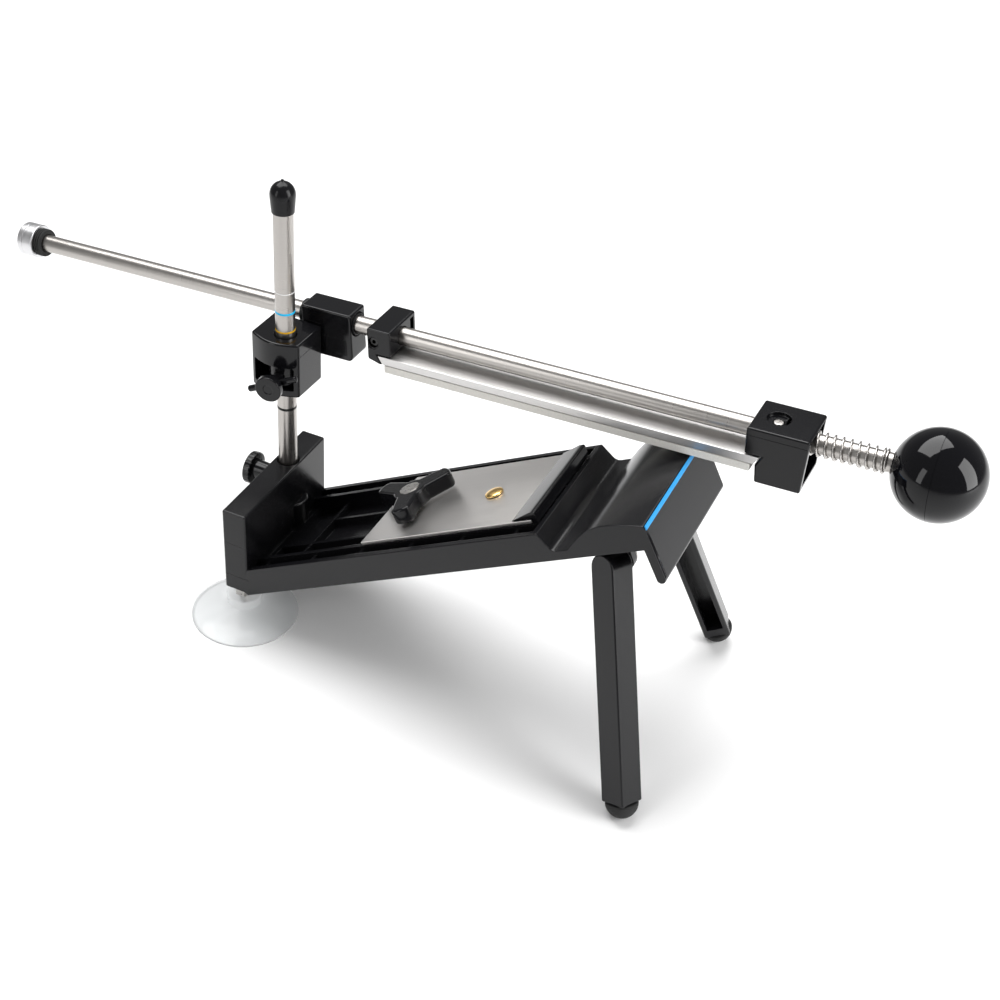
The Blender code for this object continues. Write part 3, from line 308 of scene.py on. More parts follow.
def bar(radius: float, low: float, high: float, edge: float = 0.3) -> list[Point]:
    """Outline of a round bar about local Z with rounded ends."""
    return [(0, low), *rim(radius, low, high, edge), (0, high)]


def flared(radius: float, low: float, high: float, flare: float) -> list[Point]:
    """Outline of a cutter for a bore whose two mouths are chamfered."""
    mouth = radius + flare
    return [(0, low - PAST), (mouth, low - PAST), (mouth, low), (radius, low + flare),
            (radius, high - flare), (mouth, high), (mouth, high + PAST), (0, high + PAST)]


def bore(radius: float, low: float, high: float, place: Place, edge: float = 0.3) -> bpy.types.Object:
    """A small round cutter along a place's Z."""
    return solid("bore", turned(bar(radius, low, high, edge), SMALL), place)


def hexagon(radius: float) -> list[Point]:
    """Corners of a hexagon."""
    return arc((0, 0), radius, 0, 300, 5)


def bake(obj: bpy.types.Object) -> None:
    """Replace an object's mesh with what its modifiers make of it."""
    bpy.context.view_layer.update()
    graph = bpy.context.evaluated_depsgraph_get()
    mesh = bpy.data.meshes.new_from_object(obj.evaluated_get(graph))
    obj.modifiers.clear()
    obj.data = mesh


def combine(obj: bpy.types.Object, tools: list[bpy.types.Object], operation: str) -> None:
    """Apply a Boolean with each tool, and remove the tools."""
    for tool in tools:
        step = obj.modifiers.new(tool.name, "BOOLEAN")
        step.operation = operation
        step.solver = "EXACT"
        step.object = tool
    bake(obj)
    for tool in tools:
        bpy.data.objects.remove(tool, do_unlink=True)


def cut(obj: bpy.types.Object, *tools: bpy.types.Object) -> None:
    """Take the tools' shapes out of a piece."""
    combine(obj, list(tools), "DIFFERENCE")


def join(obj: bpy.types.Object, *tools: bpy.types.Object) -> None:
    """Add the tools' shapes to a piece."""
    combine(obj, list(tools), "UNION")


def soften(obj: bpy.types.Object, width: float, segments: int = 3, angle: float = 45) -> None:
    """Round the edges sharper than the angle, by a width in millimetres."""
    bevel = obj.modifiers.new("edges", "BEVEL")
    bevel.width = width * MM
    bevel.segments = segments
    bevel.limit_method = "ANGLE"
    bevel.angle_limit = math.radians(angle)
    bake(obj)


# ---- finishes ----

class Nodes:
    """A material's node tree, with short calls for the nodes that the finishes share."""

    def __init__(self, name: str) -> None:
        """Start a material with a Principled BSDF."""
        self.material = bpy.data.materials.new(name)
        self.material.use_nodes = True
        self.tree = self.material.node_tree
        self.shader = self.tree.nodes["Principled BSDF"]
        self.coords = self.tree.nodes.new("ShaderNodeTexCoord").outputs["Object"]

    def set(self, **values: object) -> None:
        """Set the shader's own sockets; an underscore in a name stands for a space."""
        for name, value in values.items():
            self.shader.inputs[name.replace("_", " ")].default_value = value

    def link(self, start: bpy.types.NodeSocket, end: bpy.types.NodeSocket) -> None:
        """Join two sockets."""
        self.tree.links.new(start, end)

    def noise(self, scale: float, detail: float = 3.0,
              stretch: tuple[float, float, float] = (1, 1, 1)) -> bpy.types.NodeSocket:
        """Noise in the piece's own frame.

        Args:
            scale: features per metre.
            detail: octaves.
            stretch: how much denser it is along each axis.

        Returns:
            The socket with its value.
        """
        mapping = self.tree.nodes.new("ShaderNodeMapping")
        mapping.inputs["Scale"].default_value = stretch
        self.link(self.coords, mapping.inputs["Vector"])
        node = self.tree.nodes.new("ShaderNodeTexNoise")
        node.inputs["Scale"].default_value = scale
        node.inputs["Detail"].default_value = detail
        self.link(mapping.outputs["Vector"], node.inputs["Vector"])
        return node.outputs["Fac"]

    def spread(self, value: bpy.types.NodeSocket, low: float, high: float) -> bpy.types.NodeSocket:
        """Map the middle of a noise onto a range."""
        node = self.tree.nodes.new("ShaderNodeMapRange")
        for name, number in (("From Min", 0.3), ("From Max", 0.7), ("To Min", low), ("To Max", high)):
            node.inputs[name].default_value = number
        self.link(value, node.inputs["Value"])
        return node.outputs["Result"]

    def blend(self, value: bpy.types.NodeSocket, first: tuple, second: tuple) -> bpy.types.NodeSocket:
        """Mix two colours by a value."""
        node = self.tree.nodes.new("ShaderNodeMix")
        node.data_type = "RGBA"
        colours = [s for s in node.inputs if s.type == "RGBA"]
        colours[0].default_value = (*first, 1)
        colours[1].default_value = (*second, 1)
        self.link(value, node.inputs["Factor"])
        return next(s for s in node.outputs if s.type == "RGBA")

    def relief(self, height: bpy.types.NodeSocket, strength: float, depth: float,
               edge: float = 0.0) -> None:
        """Bump the surface, with its edges rounded by a radius in millimetres."""
        bump = self.tree.nodes.new("ShaderNodeBump")
        bump.inputs["Strength"].default_value = strength
        bump.inputs["Distance"].default_value = depth * MM
        self.link(height, bump.inputs["Height"])
        if edge:
            bevel = self.tree.nodes.new("ShaderNodeBevel")
            bevel.samples = 6
            bevel.inputs["Radius"].default_value = edge * MM
            self.link(bevel.outputs["Normal"], bump.inputs["Normal"])
        self.link(bump.outputs["Normal"], self.shader.inputs["Normal"])


@dataclass(frozen=True)
class Finish:
    """A named finish and the record's slot that it belongs to."""

    name: str
    slot: str
    colour: tuple[float, float, float]
    roughness: float

    def nodes(self) -> Nodes:
        """The finish's node tree; each kind of finish draws its own."""
        raise NotImplementedError

    def material(self) -> bpy.types.Material:
        """The finish's material, made once."""
        return bpy.data.materials.get(self.name) or self.nodes().material

    def tint(self, share: float) -> tuple[float, float, float]:
        """The colour, lighter or darker by a share."""
        return tuple(min(1.0, c * share) for c in self.colour)


@dataclass(frozen=True)
class MouldedPlastic(Finish):
    """Glossy or satin moulded plastic with a faint grain and uneven sheen."""

    grain: float = 0.12
    grain_size: float = 0.5
    edge: float = 0.25
    coat: float = 0.0
    shine: float = 0.22

    def nodes(self) -> Nodes:
        """Two near shades, sheen that wanders, fine grain and softly rounded edges."""
        tree = Nodes(self.name)
        tree.set(Specular_IOR_Level=self.shine, Coat_Weight=self.coat, Coat_Roughness=0.06)
        flow = tree.noise(24, 3)
        tree.link(tree.blend(flow, self.tint(0.92), self.tint(1.12)), tree.shader.inputs["Base Color"])
        tree.link(tree.spread(tree.noise(60, 4), self.roughness * 0.94, self.roughness * 1.08),
                  tree.shader.inputs["Roughness"])
        tree.relief(tree.noise(1000 / self.grain_size, 2), self.grain, 0.05, self.edge)
        return tree


@dataclass(frozen=True)
class BrushedMetal(Finish):
    """Metal with fine scratches that run across one of the piece's own axes."""

    stretch: tuple[float, float, float] = (60, 1, 1)
    scratch: float = 0.12
    contrast: float = 0.14

    def nodes(self) -> Nodes:
        """Stretched noise drives the sheen, the tone and a shallow relief."""
        tree = Nodes(self.name)
        tree.set(Metallic=1.0)
        lines = tree.noise(55, 3, self.stretch)
        tone = tree.blend(lines, self.tint(1 - self.contrast), self.tint(1 + self.contrast))
        tree.link(tone, tree.shader.inputs["Base Color"])
        tree.link(tree.spread(lines, self.roughness * 0.9, self.roughness * 1.1),
                  tree.shader.inputs["Roughness"])
        tree.relief(lines, self.scratch, 0.03)
        return tree


@dataclass(frozen=True)
class Rubber(Finish):
    """Matt rubber or vinyl with a fine pebbled surface and dusty patches."""

    def nodes(self) -> Nodes:
        """Pebbles in the relief, dust in the colour."""
        tree = Nodes(self.name)
        tree.link(tree.blend(tree.noise(240, 5), self.tint(0.8), self.tint(1.8)),
                  tree.shader.inputs["Base Color"])
        tree.link(tree.spread(tree.noise(300, 3), self.roughness * 0.85, self.roughness * 1.1),
                  tree.shader.inputs["Roughness"])
        tree.relief(tree.noise(2600, 2), 0.2, 0.05, 0.2)
        return tree


@dataclass(frozen=True)
class ClearVinyl(Finish):
    """Clear soft vinyl that blurs a little where it is thick."""

    def nodes(self) -> Nodes:
        """Transmission with slightly uneven gloss."""
        tree = Nodes(self.name)
        tree.set(Base_Color=(*self.colour, 1), Transmission_Weight=0.9, IOR=1.46)
        tree.link(tree.spread(tree.noise(120, 3), self.roughness * 0.6, self.roughness * 1.5),
                  tree.shader.inputs["Roughness"])
        tree.relief(tree.noise(120, 2), 0.03, 0.1)
        return tree


@dataclass(frozen=True)
class Abrasive(Finish):
    """Bonded grit: pale specks, pores and a matt surface."""

    def nodes(self) -> Nodes:
        """Specks of two sizes in the colour and the relief."""
        tree = Nodes(self.name)
        tree.set(Roughness=self.roughness)
        tree.link(tree.blend(tree.noise(2400, 5), self.tint(0.86), self.tint(1.12)),
                  tree.shader.inputs["Base Color"])
        tree.relief(tree.noise(3200, 4), 0.35, 0.06)
        return tree


class Look(Enum):
    """The sharpener's finishes."""

    BLACK = MouldedPlastic("satin_black_moulding", "black_plastic", (0.006, 0.006, 0.007), 0.22, grain=0.03,
                           shine=0.3)
    GLOSS = MouldedPlastic("glossy_black_block", "black_plastic", (0.005, 0.005, 0.006), 0.13, grain=0.02,
                           shine=0.3)
    BALL = MouldedPlastic("polished_black_ball", "ball_phenolic", (0.003, 0.003, 0.004), 0.05, grain=0.01,
                          grain_size=2.0, edge=0.0, coat=0.12)
    VINYL = MouldedPlastic("dipped_black_vinyl", "cap_vinyl", (0.006, 0.006, 0.007), 0.20, grain=0.03,
                           grain_size=3.0, edge=0.0)
    BUSH = MouldedPlastic("black_nylon_bush", "bush_nylon", (0.012, 0.012, 0.013), 0.45)
    RUBBER = Rubber("black_rubber", "black_rubber", (0.010, 0.010, 0.011), 0.55)
    ROD = BrushedMetal("ground_steel_rod", "stainless_steel", (0.43, 0.41, 0.39), 0.30,
                       stretch=(1, 1, 30), scratch=0.001, contrast=0.04)
    PLATE = BrushedMetal("brushed_steel_plate", "stainless_steel", (0.80, 0.78, 0.76), 0.36,
                         stretch=(1, 60, 1), scratch=0.02, contrast=0.05)
    STEEL = BrushedMetal("bright_steel", "stainless_steel", (0.50, 0.48, 0.46), 0.28,
                         stretch=(8, 8, 8), scratch=0.004, contrast=0.04)
    DARK_STEEL = BrushedMetal("blackened_steel", "stainless_steel", (0.05, 0.05, 0.05), 0.35,
                              stretch=(8, 8, 8), scratch=0.02, contrast=0.04)
    ALUMINIUM = BrushedMetal("satin_aluminium", "aluminium", (0.64, 0.63, 0.62), 0.38,
                             stretch=(1, 40, 40), scratch=0.006, contrast=0.05)
    TURNED = BrushedMetal("turned_aluminium", "aluminium", (0.68, 0.68, 0.69), 0.34,
                          stretch=(1, 1, 12), scratch=0.001, contrast=0.03)
    BRASS = BrushedMetal("polished_brass", "brass", (0.86, 0.58, 0.22), 0.2,
                         stretch=(6, 6, 6), scratch=0.006, contrast=0.04)
    GRIT = Abrasive("cream_grit", "stone_grit", (0.86, 0.84, 0.79), 0.85)
    TAPE = MouldedPlastic("blue_edge_strip", "blue_tape", (0.02, 0.29, 0.66), 0.35)
    CLEAR = ClearVinyl("clear_vinyl", "clear_vinyl", (0.77, 0.79, 0.80), 0.03)
    MARK_BLACK = MouldedPlastic("black_height_mark", "black_plastic", (0.01, 0.01, 0.01), 0.4)
    MARK_GOLD = MouldedPlastic("gold_height_mark", "brass", (0.75, 0.42, 0.02), 0.35)
    MARK_BLUE = MouldedPlastic("blue_height_mark", "blue_tape", (0.02, 0.50, 0.85), 0.35)
    MARK_WHITE = MouldedPlastic("white_height_mark", "stone_grit", (0.80, 0.80, 0.79), 0.35)


def dress(obj: bpy.types.Object, look: Look, body: str, *nodes: str) -> bpy.types.Object:
    """Give a piece its finish and its body.

    Args:
        obj: the piece, in place.
        look: its finish.
        body: the CAD body that it moves with.
        *nodes: the CAD nodes that it stands for.

    Returns:
        The piece.
    """
    mesh = obj.data
    mesh.shade_smooth()
    mesh.set_sharp_from_angle(angle=math.radians(32))
    mesh.materials.clear()
    mesh.materials.append(look.value.material())
    weighted = obj.modifiers.new("flat_faces", "WEIGHTED_NORMAL")
    weighted.keep_sharp = True
    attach(obj, body)
    if nodes:
        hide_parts(*nodes)
    log.info("%s rides on %s in %s", obj.name, body, look.name)
    return obj


# ---- sub-assemblies ----

@dataclass
class BaseMoulding:
    """The upright wall, the ribbed tray and the blade table, one moulding."""

    base: Place
    tray: Place
    post: Place
    thick: float = 10.8
    width: float = 64.0
    height: float = 40.1
    drop: float = 0.8
    rise: float = math.radians(28.93)
    depth: float = 12.0
    skin: float = 2.6
    floor: Span = (2.6, 4.6)
    rail_y: float = 23.2
    rail_thick: float = 1.8
    channel_y: float = 9.0
    channel_thick: float = 1.6
    channel_high: float = 8.0
    rib_thick: float = 1.4
    rib_high: float = 10.4
    ribs: list[float] = field(default_factory=lambda: [12.5 + 24.6 * i for i in range(6)])
    slot: tuple[Span, float] = ((56.0, 106.0), 6.4)
    trough: Span = (148.0, 158.0)
    trough_high: float = 4.0
    ramp: float = 17.0
    end: float = 191.5
    fall: float = 2.2
    table_skin: float = 2.8
    apron: float = 3.5
    apron_low: float = -14.5
    post_r: float = 3.97
    strip: Point = (0.5, 1.7)
    lock_z: float = 29.4
    stud_y: float = 26.2
    lug_y: Span = (15.01, 18.41)
    lug_centre: Point = (169.2, -11.34)
    lug_r: float = 4.2
    line: float = 0.2
    line_in: float = 2.2

    def table_height(self, along: float) -> float:
        """Height of the blade table above the tray's lower edge."""
        if along <= self.trough[1]:
            return self.trough_high
        top = self.trough[1] + self.ramp
        if along < top:
            turn = (along - self.trough[1]) / self.ramp * math.pi / 2
            return self.trough_high + (self.depth - self.trough_high) * math.sin(turn)
        return self.depth - self.fall * ((along - top) / (self.end - top)) ** 2

    def table_line(self, start: float, end: float, drop: float, steps: int = 36) -> list[Point]:
        """The table's surface, or a line a little below it."""
        places = [start + (end - start) * i / steps for i in range(steps + 1)]
        return [(s, self.table_height(s) - drop) for s in places]

    def in_tray(self, x: float, z: float) -> Point:
        """A point beside the wall, in the tray's frame."""
        dx, dz = x - self.thick / 2, z + self.drop
        return (dx * math.cos(self.rise) + dz * math.sin(self.rise),
                dz * math.cos(self.rise) - dx * math.sin(self.rise))

    def shell(self) -> bpy.types.Object:
        """The tray and the table before they are cored."""
        half = self.thick / 2
        lip = self.apron / 2
        rim = self.in_tray(half - 2, self.height * 0.4)[0]
        outline = [self.in_tray(half - 2.4, 0.4), (0, 0), (self.end - self.apron, 0)]
        outline += reversed(arc((self.end - lip, self.apron_low + lip), lip, 0, -180, 12))
        outline += reversed(self.table_line(self.trough[1], self.end, 0))
        outline += arc((self.trough[0] + 5.5, self.trough_high + 3), 3, 270, 200, 6)
        outline += [(self.trough[0], self.depth), (rim, self.depth)]
        obj = solid("base_moulding", prism(outline, -self.width / 2, self.width / 2), self.tray)
        soften(obj, 0.45, 2, 40)
        return obj

    def bays(self) -> list[tuple[Span, Span, Span]]:
        """The pockets between the tray's ribs."""
        rib, deep = self.rib_thick / 2, (self.floor[1], 30.0)
        wide = (self.rail_y + self.rail_thick / 2, self.width / 2 - self.skin)
        middle = (self.channel_y + self.channel_thick / 2, self.rail_y - self.rail_thick / 2)
        stop = self.trough[0] - 1.5
        spans = []
        outer = [4.5, *self.ribs, stop]
        inner = [self.in_tray(self.thick / 2, 8)[0] + 3, 24.0, 86.0, stop]
        for ends, ys in ((outer, wide), (inner, middle)):
            for start, end in zip(ends, ends[1:]):
                for side in (-1, 1):
                    across = tuple(sorted((side * ys[0], side * ys[1])))
                    spans.append(((start + rib, end - rib), across, deep))
        reach = self.channel_y - self.channel_thick / 2
        for start, end in zip(inner[1:], inner[2:]):
            spans.append(((start + rib, end - rib), (-reach, reach), deep))
        return spans

    def core(self, obj: bpy.types.Object) -> None:
        """Hollow the tray from above, and the tray and the table from below."""
        side, open_top = self.width / 2 - self.skin, 30.0
        rail = (self.rail_y - self.rail_thick / 2, self.rail_y + self.rail_thick / 2)
        reach = (5.0, self.trough[0] - 2.2)
        shallow = [(reach, (-rail[0], rail[0]), (self.channel_high, open_top)),
                   (reach, (-side, -rail[1]), (self.rib_high, open_top)),
                   (reach, (rail[1], side), (self.rib_high, open_top))]
        run, wide = self.slot
        under = [((6, self.trough[0] - 2), (-side, side), (-8, self.floor[0]))]
        front = self.end - self.apron
        hollow = [(self.trough[0], -30.0), (self.trough[0], self.trough_high - self.table_skin)]
        hollow += self.table_line(self.trough[1] + 1.5, front, self.table_skin, 24) + [(front, -30.0)]
        cut(obj,
            solid("shallow", boxes(shallow), self.tray),
            solid("bays", boxes(self.bays()), self.tray),
            solid("slot", boxes([(run, (-wide / 2, wide / 2), (-2, 10))]), self.tray),
            solid("underside", boxes(under), self.tray),
            solid("table_underside", prism(hollow, -side, side), self.tray))

    def mould_lines(self) -> list[bpy.types.Object]:
        """Fine grooves on the wall's end and round the apron."""
        half, edge = self.thick / 2, self.width / 2
        ends = [((-half - 1, half + 1), (side * edge - 0.12, side * edge + 0.12), (z, z + 0.25))
                for side in (-1, 1) for z in (7.4, 24.0)]
        deep = (self.end - 0.1, self.end + 1.9)
        inset = edge - self.line_in
        low = self.apron_low + self.line_in + self.line
        frame = [(deep, (-inset, inset), (low, low + self.line)),
                 (deep, (-inset, -inset + self.line), (low, 7.0)),
                 (deep, (inset - self.line, inset), (low, 7.0))]
        return [solid("wall_lines", boxes(ends), self.base), solid("apron_lines", boxes(frame), self.tray)]

    def lugs(self) -> list[bpy.types.Object]:
        """The ears under the table that the legs hang from."""
        s = self.lug_centre[0]
        root = self.table_height(s) - self.table_skin / 2
        tools = []
        for side in (-1, 1):
            span = sorted(side * y for y in self.lug_y)
            outline = [(s - 6, root - 3), (s + 6, root), *arc(self.lug_centre, self.lug_r, 0, -180, 24)]
            tools.append(solid("lug", prism(outline, *span), self.tray))
        return tools

    def build(self) -> None:
        """Make the moulding with its bores."""
        obj = self.shell()
        self.core(obj)
        half = self.thick / 2
        upright = ((-half, half), (-self.width / 2, self.width / 2), (0, self.height))
        wall = solid("wall", boxes([upright]), self.base)
        soften(wall, 0.8, 3)
        lock = self.post.moved(z=self.lock_z).against_x()
        boss = solid("boss", turned(bar(6.6, 0.6, 21.0, 0.8)), self.post.moved(1.6))
        pad = solid("pad", turned(bar(5.2, 0.0, half + 2.0, 0.4)), lock)
        join(obj, wall, boss, pad, *self.lugs())
        fit, mouth, above = self.post_r + GAP, self.post_r + GAP + 0.9, self.height + 20
        socket = [(0, 3.7), (fit, 3.7), (fit, self.height - 0.7), (mouth, self.height + 0.2), (mouth, above),
                  (0, above)]
        tools = [solid("socket", turned(socket), self.post), bore(SCREW_BORE, -0.5, 30.0, lock),
                 *self.mould_lines()]
        tools += [bore(SCREW_BORE, -PAST, 8.3, self.base.moved(0, side * self.stud_y)) for side in (-1, 1)]
        cut(obj, *tools)
        dress(obj, Look.BLACK, "base", "base_body")
        self.edge_strip()

    def edge_strip(self) -> None:
        """The blue strip that wraps the table's front edge."""
        top = self.table_height(self.end) - 0.1
        low = self.end + GAP
        reach = self.width / 2 - GAP
        span = ((low, low + self.strip[0]), (-reach, reach), (top - self.strip[1], top))
        strip = solid("blue_edge_strip", boxes([span]), self.tray)
        soften(strip, 0.16, 2)
        dress(strip, Look.TAPE, "base", "table_edge_strip")


@dataclass
class SuctionCup:
    """A clear suction cup with its stud and nut."""

    place: Place
    word: str
    radius: float = 22.2
    head_r: float = 7.4
    high: float = 11.3
    stud_r: float = SCREW_R
    stud: Span = (6.3, 24.3)
    nut_r: float = 4.04
    nut_thick: float = 2.6

    def profile(self) -> list[Point]:
        """The cup's section: flared skirt, step, head and the hollow underneath."""
        rim, hole = self.radius, self.stud_r + GAP
        skirt = [(self.head_r + 0.9 + (rim - self.head_r - 0.9) * t, 0.8 + 5.6 * (1 - t) ** 1.6)
                 for t in (i / 10 for i in range(10, -1, -1))]
        neck = arc((self.head_r - 0.8, self.high - 0.8), 0.8, 0, 90, 5)
        under = [(6.0 + (rim - 7.0) * t, 4.0 * (1 - t) ** 1.4) for t in (i / 8 for i in range(9))]
        return [(rim, 0), (rim, 0.4), *skirt, (self.head_r, 7.4), *neck, (hole, self.high), (hole, 6.0),
                (0, 6.0), (0, 4.3), *under]

    def build(self) -> None:
        """Make the cup, the stud and the nut."""
        dress(solid(f"clear_cup_{self.word}", turned(self.profile()), self.place), Look.CLEAR, "base",
              f"suction_cup_{self.word}")
        dress(solid(f"stud_{self.word}", turned(self.thread(*self.stud), SMALL), self.place), Look.STEEL,
              "base", f"cup_stud_{self.word}")
        low = self.high + GAP
        nut = solid(f"nut_{self.word}", slab(hexagon(self.nut_r), low, low + self.nut_thick), self.place)
        soften(nut, 0.3, 2)
        cut(nut, bore(self.stud_r + GAP, 0, 30, self.place))
        dress(nut, Look.STEEL, "base", f"cup_nut_{self.word}")

    def thread(self, low: float, high: float, pitch: float = 0.8) -> list[Point]:
        """Outline of a stud whose surface is cut with fine ridges."""
        count = int((high - low) / pitch)
        ridges = []
        for i in range(count):
            ridges += [(self.stud_r - 0.25, low + pitch * i), (self.stud_r, low + pitch * (i + 0.5))]
        return [(0, low), *ridges, (self.stud_r - 0.25, high), (0, high)]


@dataclass
class Leg:
    """A square folding leg with an open channel on its inner side, its pin and its foot."""

    place: Place
    word: str
    side: int
    width: float = 10.9
    section_turn: float = math.radians(16.0)
    web: float = 2.0
    length: float = 92.291
    pin_r: float = 1.9
    pin_head_r: float = 3.2
    pin_tail: float = -14.76
    bore_roof: float = 1.6
    foot_r: float = 6.4

    def build(self) -> None:
        """Make the leg, the pin that stays with the base, and the foot."""
        half, end = self.width / 2, -self.length + 0.4
        outline = [(half, end), *arc((0, 0), half, 0, 180, 24), (-half, end)]
        turn = Matrix.Rotation(self.side * self.section_turn, 3, self.place.z)
        section = Place(self.place.origin, turn @ self.place.x, self.place.z)
        leg = solid(f"moulded_leg_{self.word}", prism(outline, -half, half), section)
        soften(leg, 0.7, 3, 40)
        inner = -self.side * half
        span = tuple(sorted((inner - self.side, self.side * (half - self.web))))
        hollow = [((-half + self.web, half - self.web), span, (end + 5, -10))]
        across = self.place.along_y(self.side)
        roof = half - self.bore_roof
        cut(leg, solid("channel", boxes(hollow), section), bore(self.pin_r + GAP, -30, roof, across),
            bore(SCREW_BORE, end - PAST, end + 3.8, self.place))
        dress(leg, Look.BLACK, f"leg_{self.word}", f"leg_{self.word}")
        head, tail = self.pin_head_r, self.pin_tail
        pin = [(0, tail), (head - 0.5, tail), (head, tail + 0.4), (head, tail + 1.4),
               (self.pin_r, tail + 1.4), (self.pin_r, roof - GAP), (0, roof - GAP)]
        dress(solid(f"pin_{self.word}", turned(pin, SMALL), across), Look.STEEL, "base",
              f"leg_pin_{self.word}")
        low = end - GAP
        dome = oval((0, low), self.foot_r, -self.foot_r, range(0, 90, 5))
        foot = [(0, end + 3.4), (2.0, end + 3.4), (2.0, low), (self.foot_r - 0.4, low), *dome[1:],
                (0, low - self.foot_r)]
        dress(solid(f"rubber_foot_{self.word}", turned(foot), self.place), Look.RUBBER, f"leg_{self.word}",
              f"foot_{self.word}")


@dataclass
class Post:
    """The steel post with its painted height marks, its dipped cap and the knob that locks it."""

    place: Place
    radius: float = 3.97
    low: float = 4.0
    top: float = 165.4
    cap_low: float = 155.8
    cap_wide: float = 163.0
    cap_top: float = 169.2
    cap_skin: float = 0.75
    lock_z: float = 29.4
    reach: float = 18.8
    knob_r: float = 7.0
    scallops: int = 20

    def build(self) -> None:
        """Make the post, its marks, the cap and the lock knob."""
        dress(solid("ground_post", turned(bar(self.radius, self.low, self.top, 0.5)), self.place), Look.ROD,
              "post", "post")
        marks = ((67.0, 1.2, Look.MARK_BLACK), (104.0, 0.8, Look.MARK_GOLD), (112.2, 1.0, Look.MARK_BLUE),
                 (121.5, 0.5, Look.MARK_WHITE))
        under, edge, paint = self.radius - 0.2, self.radius + 0.02, self.radius + 0.04
        for low, wide, look in marks:
            high = low + wide
            band = [(under, low), (edge, low), (paint, low + 0.1), (paint, high - 0.1), (edge, high),
                    (under, high)]
            dress(solid(look.name.lower() + "_band", turned(band), self.place), look, "post")
        self.cap()
        self.lock_knob()

    def cap(self) -> None:
        """The dipped cap: a long sleeve, a wider dome and a small drip at its tip."""
        inner = self.radius + GAP
        wide, dome = inner + self.cap_skin, 5.2
        crown = oval((0, self.cap_wide), wide, dome, range(0, 81, 8))
        lip = arc((inner + 0.11, self.cap_low + 0.11), 0.11, 180, 360, 6)
        tip = [(0.75, self.cap_top - 0.75), (0.6, self.cap_top - 0.3), (0.3, self.cap_top - 0.05),
               (0, self.cap_top)]
        outline = [*lip, (wide - 0.03, self.cap_wide - 1), *crown[:-1], *tip, (0, self.top + GAP),
                   (inner, self.top + GAP)]
        dress(solid("dipped_cap", turned(outline), self.place), Look.VINYL, "post", "post_cap")

    def lock_knob(self) -> None:
        """A disc with a finely scalloped rim on a stepped hub."""
        place = self.place.moved(z=self.lock_z).against_x()
        disc = self.reach - 3.2
        back = 7.7
        hub = [(0, self.radius + 0.4), (SCREW_R, self.radius + 0.4), (SCREW_R, back + 1.5),
               (3.9, back + 1.5), (4.3, disc), *rim(self.knob_r, disc, self.reach, 0.5), (4.4, self.reach),
               (4.1, self.reach - 0.4), (0, self.reach - 0.4)]
        knob = solid("scalloped_lock_knob", turned(hub), place)
        tools = []
        for i in range(self.scallops):
            angle, out = math.tau * i / self.scallops, self.knob_r + 0.25
            spot = place.moved(out * math.cos(angle), out * math.sin(angle))
            tools.append(solid("scallop", turned(bar(0.5, disc - 1, self.reach + 1), 12), spot))
        cut(knob, *tools)
        dress(knob, Look.GLOSS, "post_lock", "post_lock_knob")


@dataclass
class HeightCollar:
    """The collar that sets the height of the swivel, with its thumbscrew and cross pin."""

    post: Place
    out: Place
    radius: float = 6.9
    low: float = 80.9
    top: float = 90.6
    neck: float = 10.7
    disc: float = 14.8
    disc_r: float = 5.5
    end: float = 17.6
    bore: float = 4.27
    cross_r: float = 1.35
    cross_half: float = 11.5

    def build(self) -> None:
        """Make the collar, the thumbscrew and the pin through its neck."""
        inner = self.bore
        ring = [(inner, self.low + 0.3), (inner + 0.3, self.low),
                *rim(self.radius, self.low, self.top, 0.7, 6), (inner + 0.3, self.top),
                (inner, self.top - 0.3)]
        collar = solid("turned_collar", turned(ring), self.post)
        cut(collar, bore(SCREW_BORE, 1, 12, self.out))
        dress(collar, Look.GLOSS, "collar", "height_collar")
        tip = self.bore + 0.1
        outline = [(0, tip), (SCREW_R, tip), (SCREW_R, self.neck),
                   *arc((2.9, self.neck + 0.4), 0.4, -90, 0, 3), (3.3, self.disc - 0.3), (3.6, self.disc),
                   *rim(self.disc_r, self.disc, self.end, 0.4),
                   (2.1, self.end), (1.9, self.end - 0.3), (0, self.end - 0.3)]
        screw = solid("thumbscrew", turned(outline), self.out)
        cross = self.cross_place()
        cut(screw, bore(self.cross_r + GAP, -20, 20, cross))
        dress(screw, Look.GLOSS, "thumbscrew", "collar_thumbscrew")
        pin = bar(self.cross_r, -self.cross_half, self.cross_half, 0.6)
        dress(solid("cross_pin", turned(pin, SMALL), cross), Look.GLOSS, "thumbscrew", "collar_cross_pin")

    def cross_place(self) -> Place:
        """Z along the cross pin, from the middle of its bounding box."""
        low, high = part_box("collar_cross_pin")
        middle, size = (low + high) / 2, high - low
        along = Vector((size.x, 0, size.z)).normalized()
        along = (along - self.out.z * along.dot(self.out.z)).normalized()
        return Place(middle, self.out.z, along)


